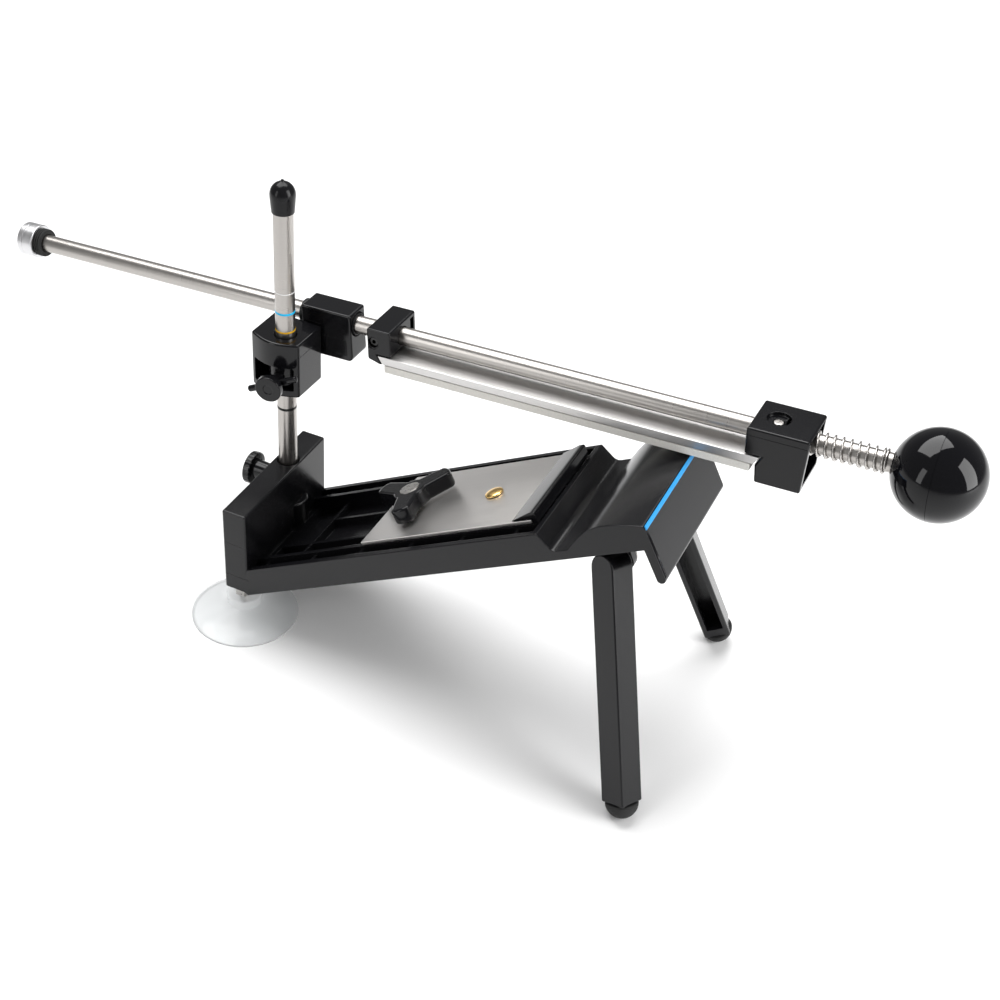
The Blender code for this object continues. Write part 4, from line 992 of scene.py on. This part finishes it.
@dataclass
class SwivelBlock:
    """The block that turns about the post above and below the collar, with the tilt pin."""

    place: Place
    left: float = -12.5
    right: float = 9.4
    far: float = 12.3
    near: float = -5.5
    bulge: float = 3.4
    low: float = 77.3
    top: float = 102.0
    window: Span = (80.5, 91.0)
    window_back: float = 8.4
    skin: float = 1.9
    pin: Point = (5.5, 94.0)
    pin_in: float = 6.5
    arm_thick: float = 11.6
    line: Span = (96.2, 96.4)
    bore: float = 4.27

    def build(self) -> None:
        """Make the block and the pin."""
        span, steps = self.right - self.left, 28
        front = [(self.left + span * i / steps, self.near - self.bulge * math.sin(math.pi * i / steps))
                 for i in range(steps + 1)]
        corner = 1.5
        back = arc((self.right - corner, self.far - corner), corner, 0, 90, 6)
        back += arc((self.left + corner, self.far - corner), corner, 90, 180, 6)
        block = solid("moulded_swivel", slab(front + back, self.low, self.top), self.place)
        soften(block, 0.9, 4, 50)
        opening = ((self.left + self.skin, self.right - self.skin), (-25, self.window_back), self.window)
        window = solid("window", boxes([opening]), self.place)
        soften(window, 0.6, 3)
        hole = flared(self.bore, self.low, self.top, 0.6)
        across = self.place.moved(self.pin[0], 0, self.pin[1]).along_y()
        deep = self.far - self.pin_in
        line = boxes([(span, (-9, 20), self.line) for span in
                      ((self.left - 1, self.left + 0.12), (self.right - 0.12, self.right + 1))])
        cut(block, window, solid("bore", turned(hole), self.place), solid("mould_line", line, self.place),
            bore(SCREW_BORE, deep - GAP, self.far + PAST, across))
        dress(block, Look.GLOSS, "swivel", "swivel_block")
        end = self.far + GAP + self.arm_thick - 1.4
        dress(solid("dowel_pin", turned(bar(SCREW_R, deep, end), SMALL), across), Look.STEEL, "swivel",
              "tilt_pin")


@dataclass
class GuideBlock:
    """The block that the rod runs through, with its bush."""

    rail: Place
    half: float = 5.8
    start: float = -0.4
    end: float = 22.3
    low: float = -15.0
    top: float = 6.1
    sleeve_r: float = 4.5
    rod_r: float = 3.65
    panel_top: float = -5.4
    pin: Point = (4.9, -8.86)

    def build(self) -> None:
        """Make the block and the bush."""
        corner = 2.2
        outline = [*arc((self.start + 1, self.top - 1), 1, 90, 180),
                   *arc((self.start + corner, self.low + corner), corner, 180, 270),
                   *arc((self.end - corner, self.low + corner), corner, 270, 360),
                   *arc((self.end - 1, self.top - 1), 1, 0, 90)]
        block = solid("moulded_guide", prism(outline, -self.half, self.half), self.rail)
        soften(block, 0.8, 4, 40)
        along = self.rail.along_x()
        hole = flared(self.sleeve_r + GAP, self.start, self.end, 0.5)
        across = self.rail.moved(self.pin[0], 0, self.pin[1]).along_y()
        span = (self.start + 2.4, self.end - 2.4)
        sunk = boxes([(span, (-self.half - 2, -self.half + 0.35), (self.low + 2.6, self.panel_top))])
        panel = solid("panel", sunk, self.rail)
        soften(panel, 0.3, 2)
        cut(block, solid("bore", turned(hole), along), panel, bore(SCREW_BORE, -20, self.half - 1.1, across))
        dress(block, Look.GLOSS, "arm", "guide_block")
        inner, left, right = self.rod_r + GAP, self.start - 1.8, self.end + 0.4
        flange = self.sleeve_r + 0.7
        sleeve = [(inner, left + 0.3), (inner + 0.3, left),
                  *arc((flange - 0.4, left + 0.4), 0.4, -90, 0, 4), (flange, self.start - GAP),
                  (self.sleeve_r, self.start - GAP), (self.sleeve_r, right - 0.2),
                  (self.sleeve_r - 0.2, right), (inner, right)]
        dress(solid("flanged_bush", turned(sleeve), along), Look.BUSH, "sleeve", "guide_sleeve")


@dataclass
class RodAssembly:
    """The rod with its ball, its end collar, its bumper rings and the spring."""

    rail: Place
    rod_r: float = 3.65
    start: float = -141.2
    end: float = 251.96
    ball_r: float = 17.0
    ball_at: float = 255.86
    cap_r: float = 7.2
    cap: Span = (-144.0, -136.2)
    bumper_r: float = 5.95
    bumper_wide: float = 0.75
    spring: Span = (200.96, 238.35)
    spring_r: float = 4.35
    wire_r: float = 0.48
    turns: float = 13.5
    sides: int = 32
    shut_turns: float = 1.2
    travel: float = 12.0

    def build(self) -> None:
        """Make every piece on the rod."""
        along = self.rail.along_x()
        dress(solid("ground_rod", turned(bar(self.rod_r, self.start, self.end, 0.5)), along), Look.ROD, "rod",
              "guide_rod")
        self.ball(along)
        self.end_collar(along)
        for i in range(3):
            self.bumper(along, i)
        self.coil()

    def ball(self, along: Place) -> None:
        """The ball, with the mould line round it and the rod's mouth."""
        mouth = self.rod_r + GAP + 0.8
        stop = 180 - math.degrees(math.asin(mouth / self.ball_r))
        angles = [stop * i / 48 for i in range(49)]
        groove = [88.0, 89.75, 90.0, 90.25, 92.0]
        angles = sorted([a for a in angles if not 87 < a < 93] + groove)
        outline = []
        for angle in angles:
            radius = self.ball_r - (0.1 if angle == 90.0 else 0.0)
            turn = math.radians(angle)
            outline.append((radius * math.sin(turn), self.ball_at + radius * math.cos(turn)))
        inner, base = self.rod_r + GAP, outline[-1][1]
        outline += [(inner + 0.2, base), (inner, base + 0.3), (inner, self.end + GAP), (0, self.end + GAP)]
        dress(solid("moulded_ball", turned(outline), along), Look.BALL, "rod", "ball_handle")

    def end_collar(self, along: Place) -> None:
        """The turned collar on the rod's far end, with the screw that holds it."""
        low, high = self.cap
        inner, hole = self.rod_r + GAP, 1.6
        outline = [(hole, low + 0.3), (hole + 0.3, low),
                   *arc((self.cap_r - 0.8, low + 0.8), 0.8, -90, 0), (self.cap_r, low + 2.6),
                   (self.cap_r - 0.18, low + 2.8), (self.cap_r, low + 3.0),
                   *arc((self.cap_r - 0.5, high - 0.5), 0.5, 0, 90), (inner + 0.3, high), (inner, high - 0.3),
                   (inner, self.start - GAP), (hole, self.start - GAP)]
        dress(solid("turned_end_collar", turned(outline), along), Look.TURNED, "rod", "rod_end_collar")
        head = low - GAP
        outline = [(0, head - 1.5), *arc((1.6, head - 0.75), 0.75, -90, 0, 5), (2.4, head), (1.3, head),
                   (1.3, self.start - 2 * GAP), (0, self.start - 2 * GAP)]
        screw = solid("button_screw", turned(outline, SMALL), along)
        cut(screw, solid("key", slab(hexagon(0.9), head - 3, head - 0.7), along))
        dress(screw, Look.STEEL, "rod", "rod_end_screw")

    def bumper(self, along: Place, index: int) -> None:
        """One ridge of the rubber bumper."""
        low = self.cap[1] + GAP + index * (self.bumper_wide + GAP)
        high, middle = low + self.bumper_wide, low + self.bumper_wide / 2
        half = self.bumper_wide / 2
        ridge = oval((self.bumper_r - 0.4, middle), 0.4, half, range(-90, 91, 15))
        inner = self.rod_r + GAP
        outline = [(inner, low), *ridge, (inner, high)]
        dress(solid(f"bumper_ridge_{index + 1}", turned(outline), along), Look.RUBBER, "rod",
              f"bumper_ring_{index + 1}")

    def coil(self) -> None:
        """The compression spring, its last turns closed up at both ends."""
        curve = bpy.data.curves.new("coil", "CURVE")
        curve.dimensions = "3D"
        curve.bevel_depth = self.wire_r * MM
        curve.bevel_resolution = 4
        curve.use_fill_caps = True
        count = int(self.turns * self.sides) + 1
        spline = curve.splines.new("POLY")
        spline.points.add(count - 1)
        length = self.spring[1] - self.spring[0] - 2 * (self.wire_r + GAP)
        shut = self.shut_turns / self.turns
        for i, point in enumerate(spline.points):
            share = i / (count - 1)
            along = self.spring[0] + self.wire_r + GAP + length * self.eased(share, shut)
            turn = math.tau * i / self.sides
            across = (self.spring_r * math.cos(turn), self.spring_r * math.sin(turn))
            point.co = (along * MM, across[0] * MM, across[1] * MM, 1)
        maker = bpy.data.objects.new("coil", curve)
        bpy.context.collection.objects.link(maker)
        bpy.context.view_layer.update()
        mesh = bpy.data.meshes.new_from_object(maker.evaluated_get(bpy.context.evaluated_depsgraph_get()))
        bpy.data.objects.remove(maker, do_unlink=True)
        spring = bpy.data.objects.new("compression_spring", mesh)
        bpy.context.collection.objects.link(spring)
        spring.matrix_world = self.rail.matrix()
        dress(spring, Look.STEEL, "rod", "carriage_spring")
        tuple(self.rail.point(self.spring[1], 0, 0))
        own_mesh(spring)

    @staticmethod
    def eased(share: float, shut: float) -> float:
        """Progress along the spring, slower in its closed end turns."""
        closed = 0.4 * shut
        if share < shut:
            return share * 0.4
        if share > 1 - shut:
            return 1 - (1 - share) * 0.4
        return closed + (share - shut) / (1 - 2 * shut) * (1 - 2 * closed)


@dataclass
class StoneHolder:
    """The two clamps, the blank with its stone, and the clamps' screws."""

    rail: Place
    half: float = 10.4
    top: float = 6.1
    rear: Span = (32.46, 42.76)
    front: Span = (188.46, 211.96)
    front_low: float = -16.4
    blank: Span = (36.86, 194.26)
    blank_top: float = -5.4
    blank_thick: float = 3.4
    undercut: float = 2.0
    stone: Span = (39.56, 190.96)
    stone_thick: float = 3.3
    stone_half: float = 10.2
    rod_r: float = 3.65
    spring_start: float = 200.96
    rear_screw_at: float = 34.96
    front_screw_at: float = 197.16
    tap_r: float = 2.2

    def build(self) -> None:
        """Make the clamps, their screws, the blank and the stone."""
        self.rear_clamp()
        self.front_clamp()
        self.blank_and_stone()

    def rod_bore(self) -> bpy.types.Object:
        """The clearance bore for the rod."""
        return solid("rod_bore", turned(bar(self.rod_r + GAP, -100, 300)), self.rail.along_x())

    def screw(self, name: str, place: Place, top: float, body: str, look: Look = Look.STEEL) -> None:
        """A grub screw with a hexagonal socket, its own Z pointing out of the clamp."""
        low = self.rod_r + GAP
        grub = solid(name.replace("clamp", "grub"), turned(bar(1.9, low, top, 0.25), SMALL), place)
        cut(grub, solid("key", slab(hexagon(0.95), low + 0.7, top + 2), place))
        dress(grub, look, body, name)

    def rear_clamp(self) -> None:
        """The clamp at the post end, cored from its far side."""
        start, end = self.rear
        pocket, low = self.blank_top + GAP, self.blank_top - self.blank_thick - GAP
        slope = (low - self.blank_top) / self.blank_thick * self.undercut
        edge = self.blank[0] - GAP
        outline = [*arc((start + 0.8, self.top - 0.8), 0.8, 90, 180, 5), (start, self.blank_top - 2.2),
                   (edge - slope - 1.4, low), (edge - slope, low), (edge, pocket), (end, pocket),
                   *arc((end - 0.8, self.top - 0.8), 0.8, 0, 90, 5)]
        clamp = solid("moulded_rear_clamp", prism(outline, -self.half, self.half), self.rail)
        soften(clamp, 0.6, 3, 40)
        sideways = self.rail.moved(self.rear_screw_at).along_y(-1)
        cored = ((start + 3, end + PAST), (self.rod_r + 2.4, self.half - 1.6), (-3.4, self.top - 1.6))
        core = solid("core", boxes([cored]), self.rail)
        seat = bore(2.7, self.half - 0.4, self.half + 3, sideways, 0.1)
        cut(clamp, self.rod_bore(), core, bore(self.tap_r, 0.5, 20, sideways), seat)
        dress(clamp, Look.GLOSS, "rod", "rear_stone_clamp")
        self.screw("rear_clamp_screw", sideways, self.half - 1.2, "rod", Look.DARK_STEEL)

    def front_clamp(self) -> None:
        """The sprung clamp, cored where the spring goes in."""
        start, end = self.front
        pocket, low = self.blank_top + GAP, self.blank_top - self.blank_thick - GAP
        slope = (self.blank_top - low) / self.blank_thick * self.undercut
        tip = self.blank[1] + 2 * GAP
        outline = [*arc((start + 1.0, self.top - 1.0), 1.0, 90, 180, 5), (start, pocket), (tip, pocket),
                   (tip - slope, low), (tip - slope + 0.5, self.front_low), (end - 1.6, self.front_low),
                   *arc((end - 1.0, self.top - 1.0), 1.0, 0, 90, 5)]
        clamp = solid("moulded_front_clamp", prism(outline, -self.half, self.half), self.rail)
        soften(clamp, 0.7, 3, 40)
        wall = self.half - 2.2
        cored = ((self.spring_start - 1.2, end + PAST), (-wall, wall), (self.front_low + 2.2, self.top - 0.9))
        core = solid("core", boxes([cored]), self.rail)
        soften(core, 0.5, 3)
        above = self.rail.moved(self.front_screw_at)
        recess = solid("recess", turned(bar(4.6, self.top - 1.4, self.top + 5, 0.2)), above)
        side_line = boxes([((start - 1, end + 1), (side * self.half - 0.1, side * self.half + 0.1),
                            (self.top - 3.1, self.top - 2.9)) for side in (-1, 1)])
        cut(clamp, self.rod_bore(), core, recess, bore(self.tap_r, 0.5, 20, above),
            solid("side_line", side_line, self.rail))
        dress(clamp, Look.GLOSS, "front_clamp", "front_stone_clamp")
        self.screw("front_clamp_screw", above, self.top - 1.3, "front_clamp")

    def blank_and_stone(self) -> None:
        """The aluminium blank with undercut ends, and the stone glued under it."""
        low = self.blank_top - self.blank_thick
        outline = [(self.blank[0], self.blank_top), (self.blank[0] + self.undercut, low),
                   (self.blank[1] - self.undercut, low), (self.blank[1], self.blank_top)]
        blank = solid("bevelled_blank", prism(outline, -self.half, self.half), self.rail)
        soften(blank, 0.25, 2, 30)
        dress(blank, Look.ALUMINIUM, "rod", "stone_blank")
        high = low - GAP
        span = [(self.stone, (-self.stone_half, self.stone_half), (high - self.stone_thick, high))]
        stone = solid("grit_stone", boxes(span), self.rail)
        soften(stone, 0.3, 2)
        dress(stone, Look.GRIT, "rod", "sharpening_stone")


@dataclass
class BladeGuide:
    """The sliding plate with its stop, its button and the three-lobed knob."""

    tray: Place
    plate: Span = (62.8, 143.1)
    half: float = 24.3
    low: float = 12.3
    thick: float = 1.6
    stop: tuple[float, float, float] = (134.8, 143.2, 145.6)
    stop_high: float = 2.7
    button_at: float = 114.4
    button_r: float = 3.8
    button_stem: float = 1.5
    knob_at: float = 77.0
    knob: Span = (15.2, 21.8)
    hub_r: float = 7.4
    lobe_r: float = 17.6
    lobe_half: float = 4.6
    lobe_end: float = 2.2
    knob_turn: float = -76.0
    nut_half: float = 5.0
    nut: Span = (0.3, 2.3)
    inlay_r: float = 4.2

    def build(self) -> None:
        """Make the plate, the stop, the button, the knob and its screw."""
        self.plate_and_stop()
        self.button()
        self.knob_and_screw()

    def plate_and_stop(self) -> None:
        """The brushed plate and the wedge along its upper edge."""
        top = self.low + self.thick
        sheet = (self.plate, (-self.half, self.half), (self.low, top))
        plate = solid("brushed_plate", boxes([sheet]), self.tray)
        soften(plate, 0.25, 2)
        cut(plate, bore(SCREW_BORE + GAP, 0, 30, self.tray.moved(self.knob_at)),
            bore(self.button_stem + GAP, 0, 30, self.tray.moved(self.button_at)))
        dress(plate, Look.PLATE, "blade_guide", "guide_plate")
        low, (start, flat, end) = top + GAP, self.stop
        edge = self.plate[1] + GAP
        outline = [(start, low), (edge, low), (edge, self.low), (end, self.low),
                   *arc((end - 0.6, low + self.stop_high - 0.6), 0.6, 0, 90, 4), (flat, low + self.stop_high),
                   (start, low + 0.3)]
        wedge = solid("moulded_stop", prism(outline, -self.half, self.half), self.tray)
        soften(wedge, 0.2, 2, 60)
        dress(wedge, Look.GLOSS, "blade_guide", "guide_stop")

    def button(self) -> None:
        """The domed brass button."""
        low = self.low + self.thick + GAP
        stem = self.button_stem
        dome = oval((0, low + 0.25), self.button_r, 1.05, range(0, 90, 9))
        outline = [(0, self.low), (stem, self.low), (stem, low), (self.button_r - 0.1, low), *dome,
                   (0, low + 1.3)]
        dress(solid("domed_button", turned(outline), self.tray.moved(self.button_at)), Look.BRASS,
              "blade_guide", "guide_button")

    def outline(self) -> list[Point]:
        """Three blunt lobes round a hub."""
        points = []
        spread = math.degrees(math.asin(self.lobe_half / self.hub_r))
        flank = math.sqrt(self.hub_r ** 2 - self.lobe_half ** 2)
        for lobe in range(3):
            bearing = self.knob_turn + 120 * lobe
            out = Vector((math.cos(math.radians(bearing)), math.sin(math.radians(bearing))))
            side = Vector((-out.y, out.x))
            blunt = self.lobe_half * 0.86
            tip = oval((self.lobe_r - self.lobe_end, 0), self.lobe_end, blunt, range(-90, 91, 15))
            shape = [(flank, -self.lobe_half), *tip, (flank, self.lobe_half)]
            points += [tuple(out * along + side * across) for along, across in shape]
            points += arc((0, 0), self.hub_r, bearing + spread, bearing + 120 - spread, 8)[1:-1]
        return points

    def knob_and_screw(self) -> None:
        """The lobed knob with its inlay, and the screw and nut that clamp the plate."""
        place = self.tray.moved(self.knob_at)
        low, top = self.knob
        knob = solid("lobed_knob", slab(self.outline(), low, top), place)
        soften(knob, 1.1, 4, 50)
        deep = top - 2.2
        cut(knob, solid("inlay_recess", turned(bar(self.inlay_r + GAP, top - 0.8, top + PAST, 0.1)), place),
            bore(SCREW_BORE, 0, deep + GAP, place))
        dress(knob, Look.GLOSS, "guide_knob", "guide_knob")
        inlay = solid("knob_disc", turned(bar(self.inlay_r, top - 0.5, top + 0.2, 0.2)), place)
        dress(inlay, Look.STEEL, "guide_knob", "knob_inlay")
        dress(solid("clamp_screw", turned(bar(SCREW_R, 0.1, deep), SMALL), place), Look.STEEL, "guide_knob",
              "guide_screw")
        centre, (bottom, high) = self.nut_half - 1, self.nut
        corners = [p for sx, sy, a in ((1, -1, -90), (1, 1, 0), (-1, 1, 90), (-1, -1, 180))
                   for p in arc((sx * centre, sy * centre), 1.0, a, a + 90, 4)]
        nut = solid("clamp_nut", slab(corners, bottom, high), place)
        soften(nut, 0.2, 2)
        cut(nut, bore(SCREW_BORE, -PAST, 10, place))
        dress(nut, Look.STEEL, "blade_guide", "guide_nut")


# ---- studio ----

@dataclass
class Studio:
    """A pale floor, soft lights and the camera."""

    azimuth: float = 0.386
    elevation: float = 0.66
    roll: float = 0.079
    distance: float = 0.6314
    lens: float = 58.98
    target: tuple[float, float, float] = (0.10165, -0.0010, 0.06545)
    surround: float = 0.26
    floor_half: float = 6000.0
    lamps: tuple = (("key", (-0.25, 0.35, 1.15), (1.3, 0.9), 22.0),
                    ("side", (1.0, 0.0, 0.45), (0.45, 0.9), 9.0),
                    ("front", (-0.5, -1.0, 0.45), (0.3, 0.8), 2.5))

    def camera(self) -> None:
        """Set the camera by its bearing, its height and its roll."""
        back = Vector((math.sin(self.azimuth) * math.cos(self.elevation),
                       -math.cos(self.azimuth) * math.cos(self.elevation), math.sin(self.elevation)))
        right = Vector((math.cos(self.azimuth), math.sin(self.azimuth), 0))
        up = back.cross(right)
        across = right * math.cos(self.roll) + up * math.sin(self.roll)
        upwards = up * math.cos(self.roll) - right * math.sin(self.roll)
        data = bpy.data.cameras.new("camera")
        data.lens = self.lens
        data.sensor_width = 36.0
        data.clip_start = 0.01
        camera = bpy.data.objects.new("camera", data)
        bpy.context.collection.objects.link(camera)
        turn = Matrix((across, upwards, back)).transposed().to_4x4()
        camera.matrix_world = Matrix.Translation(Vector(self.target) + back * self.distance) @ turn
        bpy.context.scene.camera = camera

    def light(self, name: str, spot: tuple[float, float, float], size: tuple[float, float],
              power: float) -> None:
        """A soft rectangular light that faces the sharpener."""
        data = bpy.data.lights.new(name, "AREA")
        data.shape = "RECTANGLE"
        data.size, data.size_y = size
        data.energy = power
        lamp = bpy.data.objects.new(name, data)
        bpy.context.collection.objects.link(lamp)
        aim = Vector(self.target) - Vector(spot)
        lamp.matrix_world = Matrix.Translation(spot) @ aim.to_track_quat("-Z", "Y").to_matrix().to_4x4()

    def floor(self, height: float) -> None:
        """A pale floor under the feet."""
        bm = bmesh.new()
        bmesh.ops.create_grid(bm, x_segments=8, y_segments=8, size=self.floor_half)
        floor = solid("floor", bm, Place(Vector((0.1, 0, height)), Vector((1, 0, 0)), Vector((0, 0, 1))))
        tree = Nodes("pale_floor")
        tree.link(tree.blend(tree.noise(6, 3), (0.86, 0.86, 0.86), (0.90, 0.90, 0.90)),
                  tree.shader.inputs["Base Color"])
        tree.set(Roughness=0.7, Specular_IOR_Level=0.2)
        floor.data.materials.append(tree.material)
        floor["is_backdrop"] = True

    def world(self) -> None:
        """An even, bright surround."""
        world = bpy.data.worlds.new("studio")
        world.use_nodes = True
        background = world.node_tree.nodes["Background"]
        background.inputs["Color"].default_value = (1.0, 1.0, 1.0, 1.0)
        background.inputs["Strength"].default_value = self.surround
        bpy.context.scene.world = world

    def build(self, ground: float) -> None:
        """Set up the whole studio on the ground height given."""
        self.camera()
        self.world()
        self.floor(ground)
        for lamp in self.lamps:
            self.light(*lamp)
        bpy.context.scene.view_settings.view_transform = "Standard"


def main() -> None:
    """Build every sub-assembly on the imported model, then the studio."""
    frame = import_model()
    low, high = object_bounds()
    places = Places({joint["name"]: joint for joint in frame["joints"]})
    post, rail = places.post(), places.rail()
    parts = [
        BaseMoulding(places.base(), places.tray(), post),
        SuctionCup(places.cup("near"), "near"),
        SuctionCup(places.cup("far"), "far"),
        Leg(places.leg("near"), "near", -1),
        Leg(places.leg("far"), "far", 1),
        Post(post),
        HeightCollar(post, places.thumbscrew()),
        SwivelBlock(places.swivel()),
        GuideBlock(rail),
        RodAssembly(rail),
        StoneHolder(rail),
        BladeGuide(places.tray()),
    ]
    for part in parts:
        part.build()
        log.info("built %s", type(part).__name__)
    Studio().build(low[2])
    low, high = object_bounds()


if __name__ == "__main__":
    main()
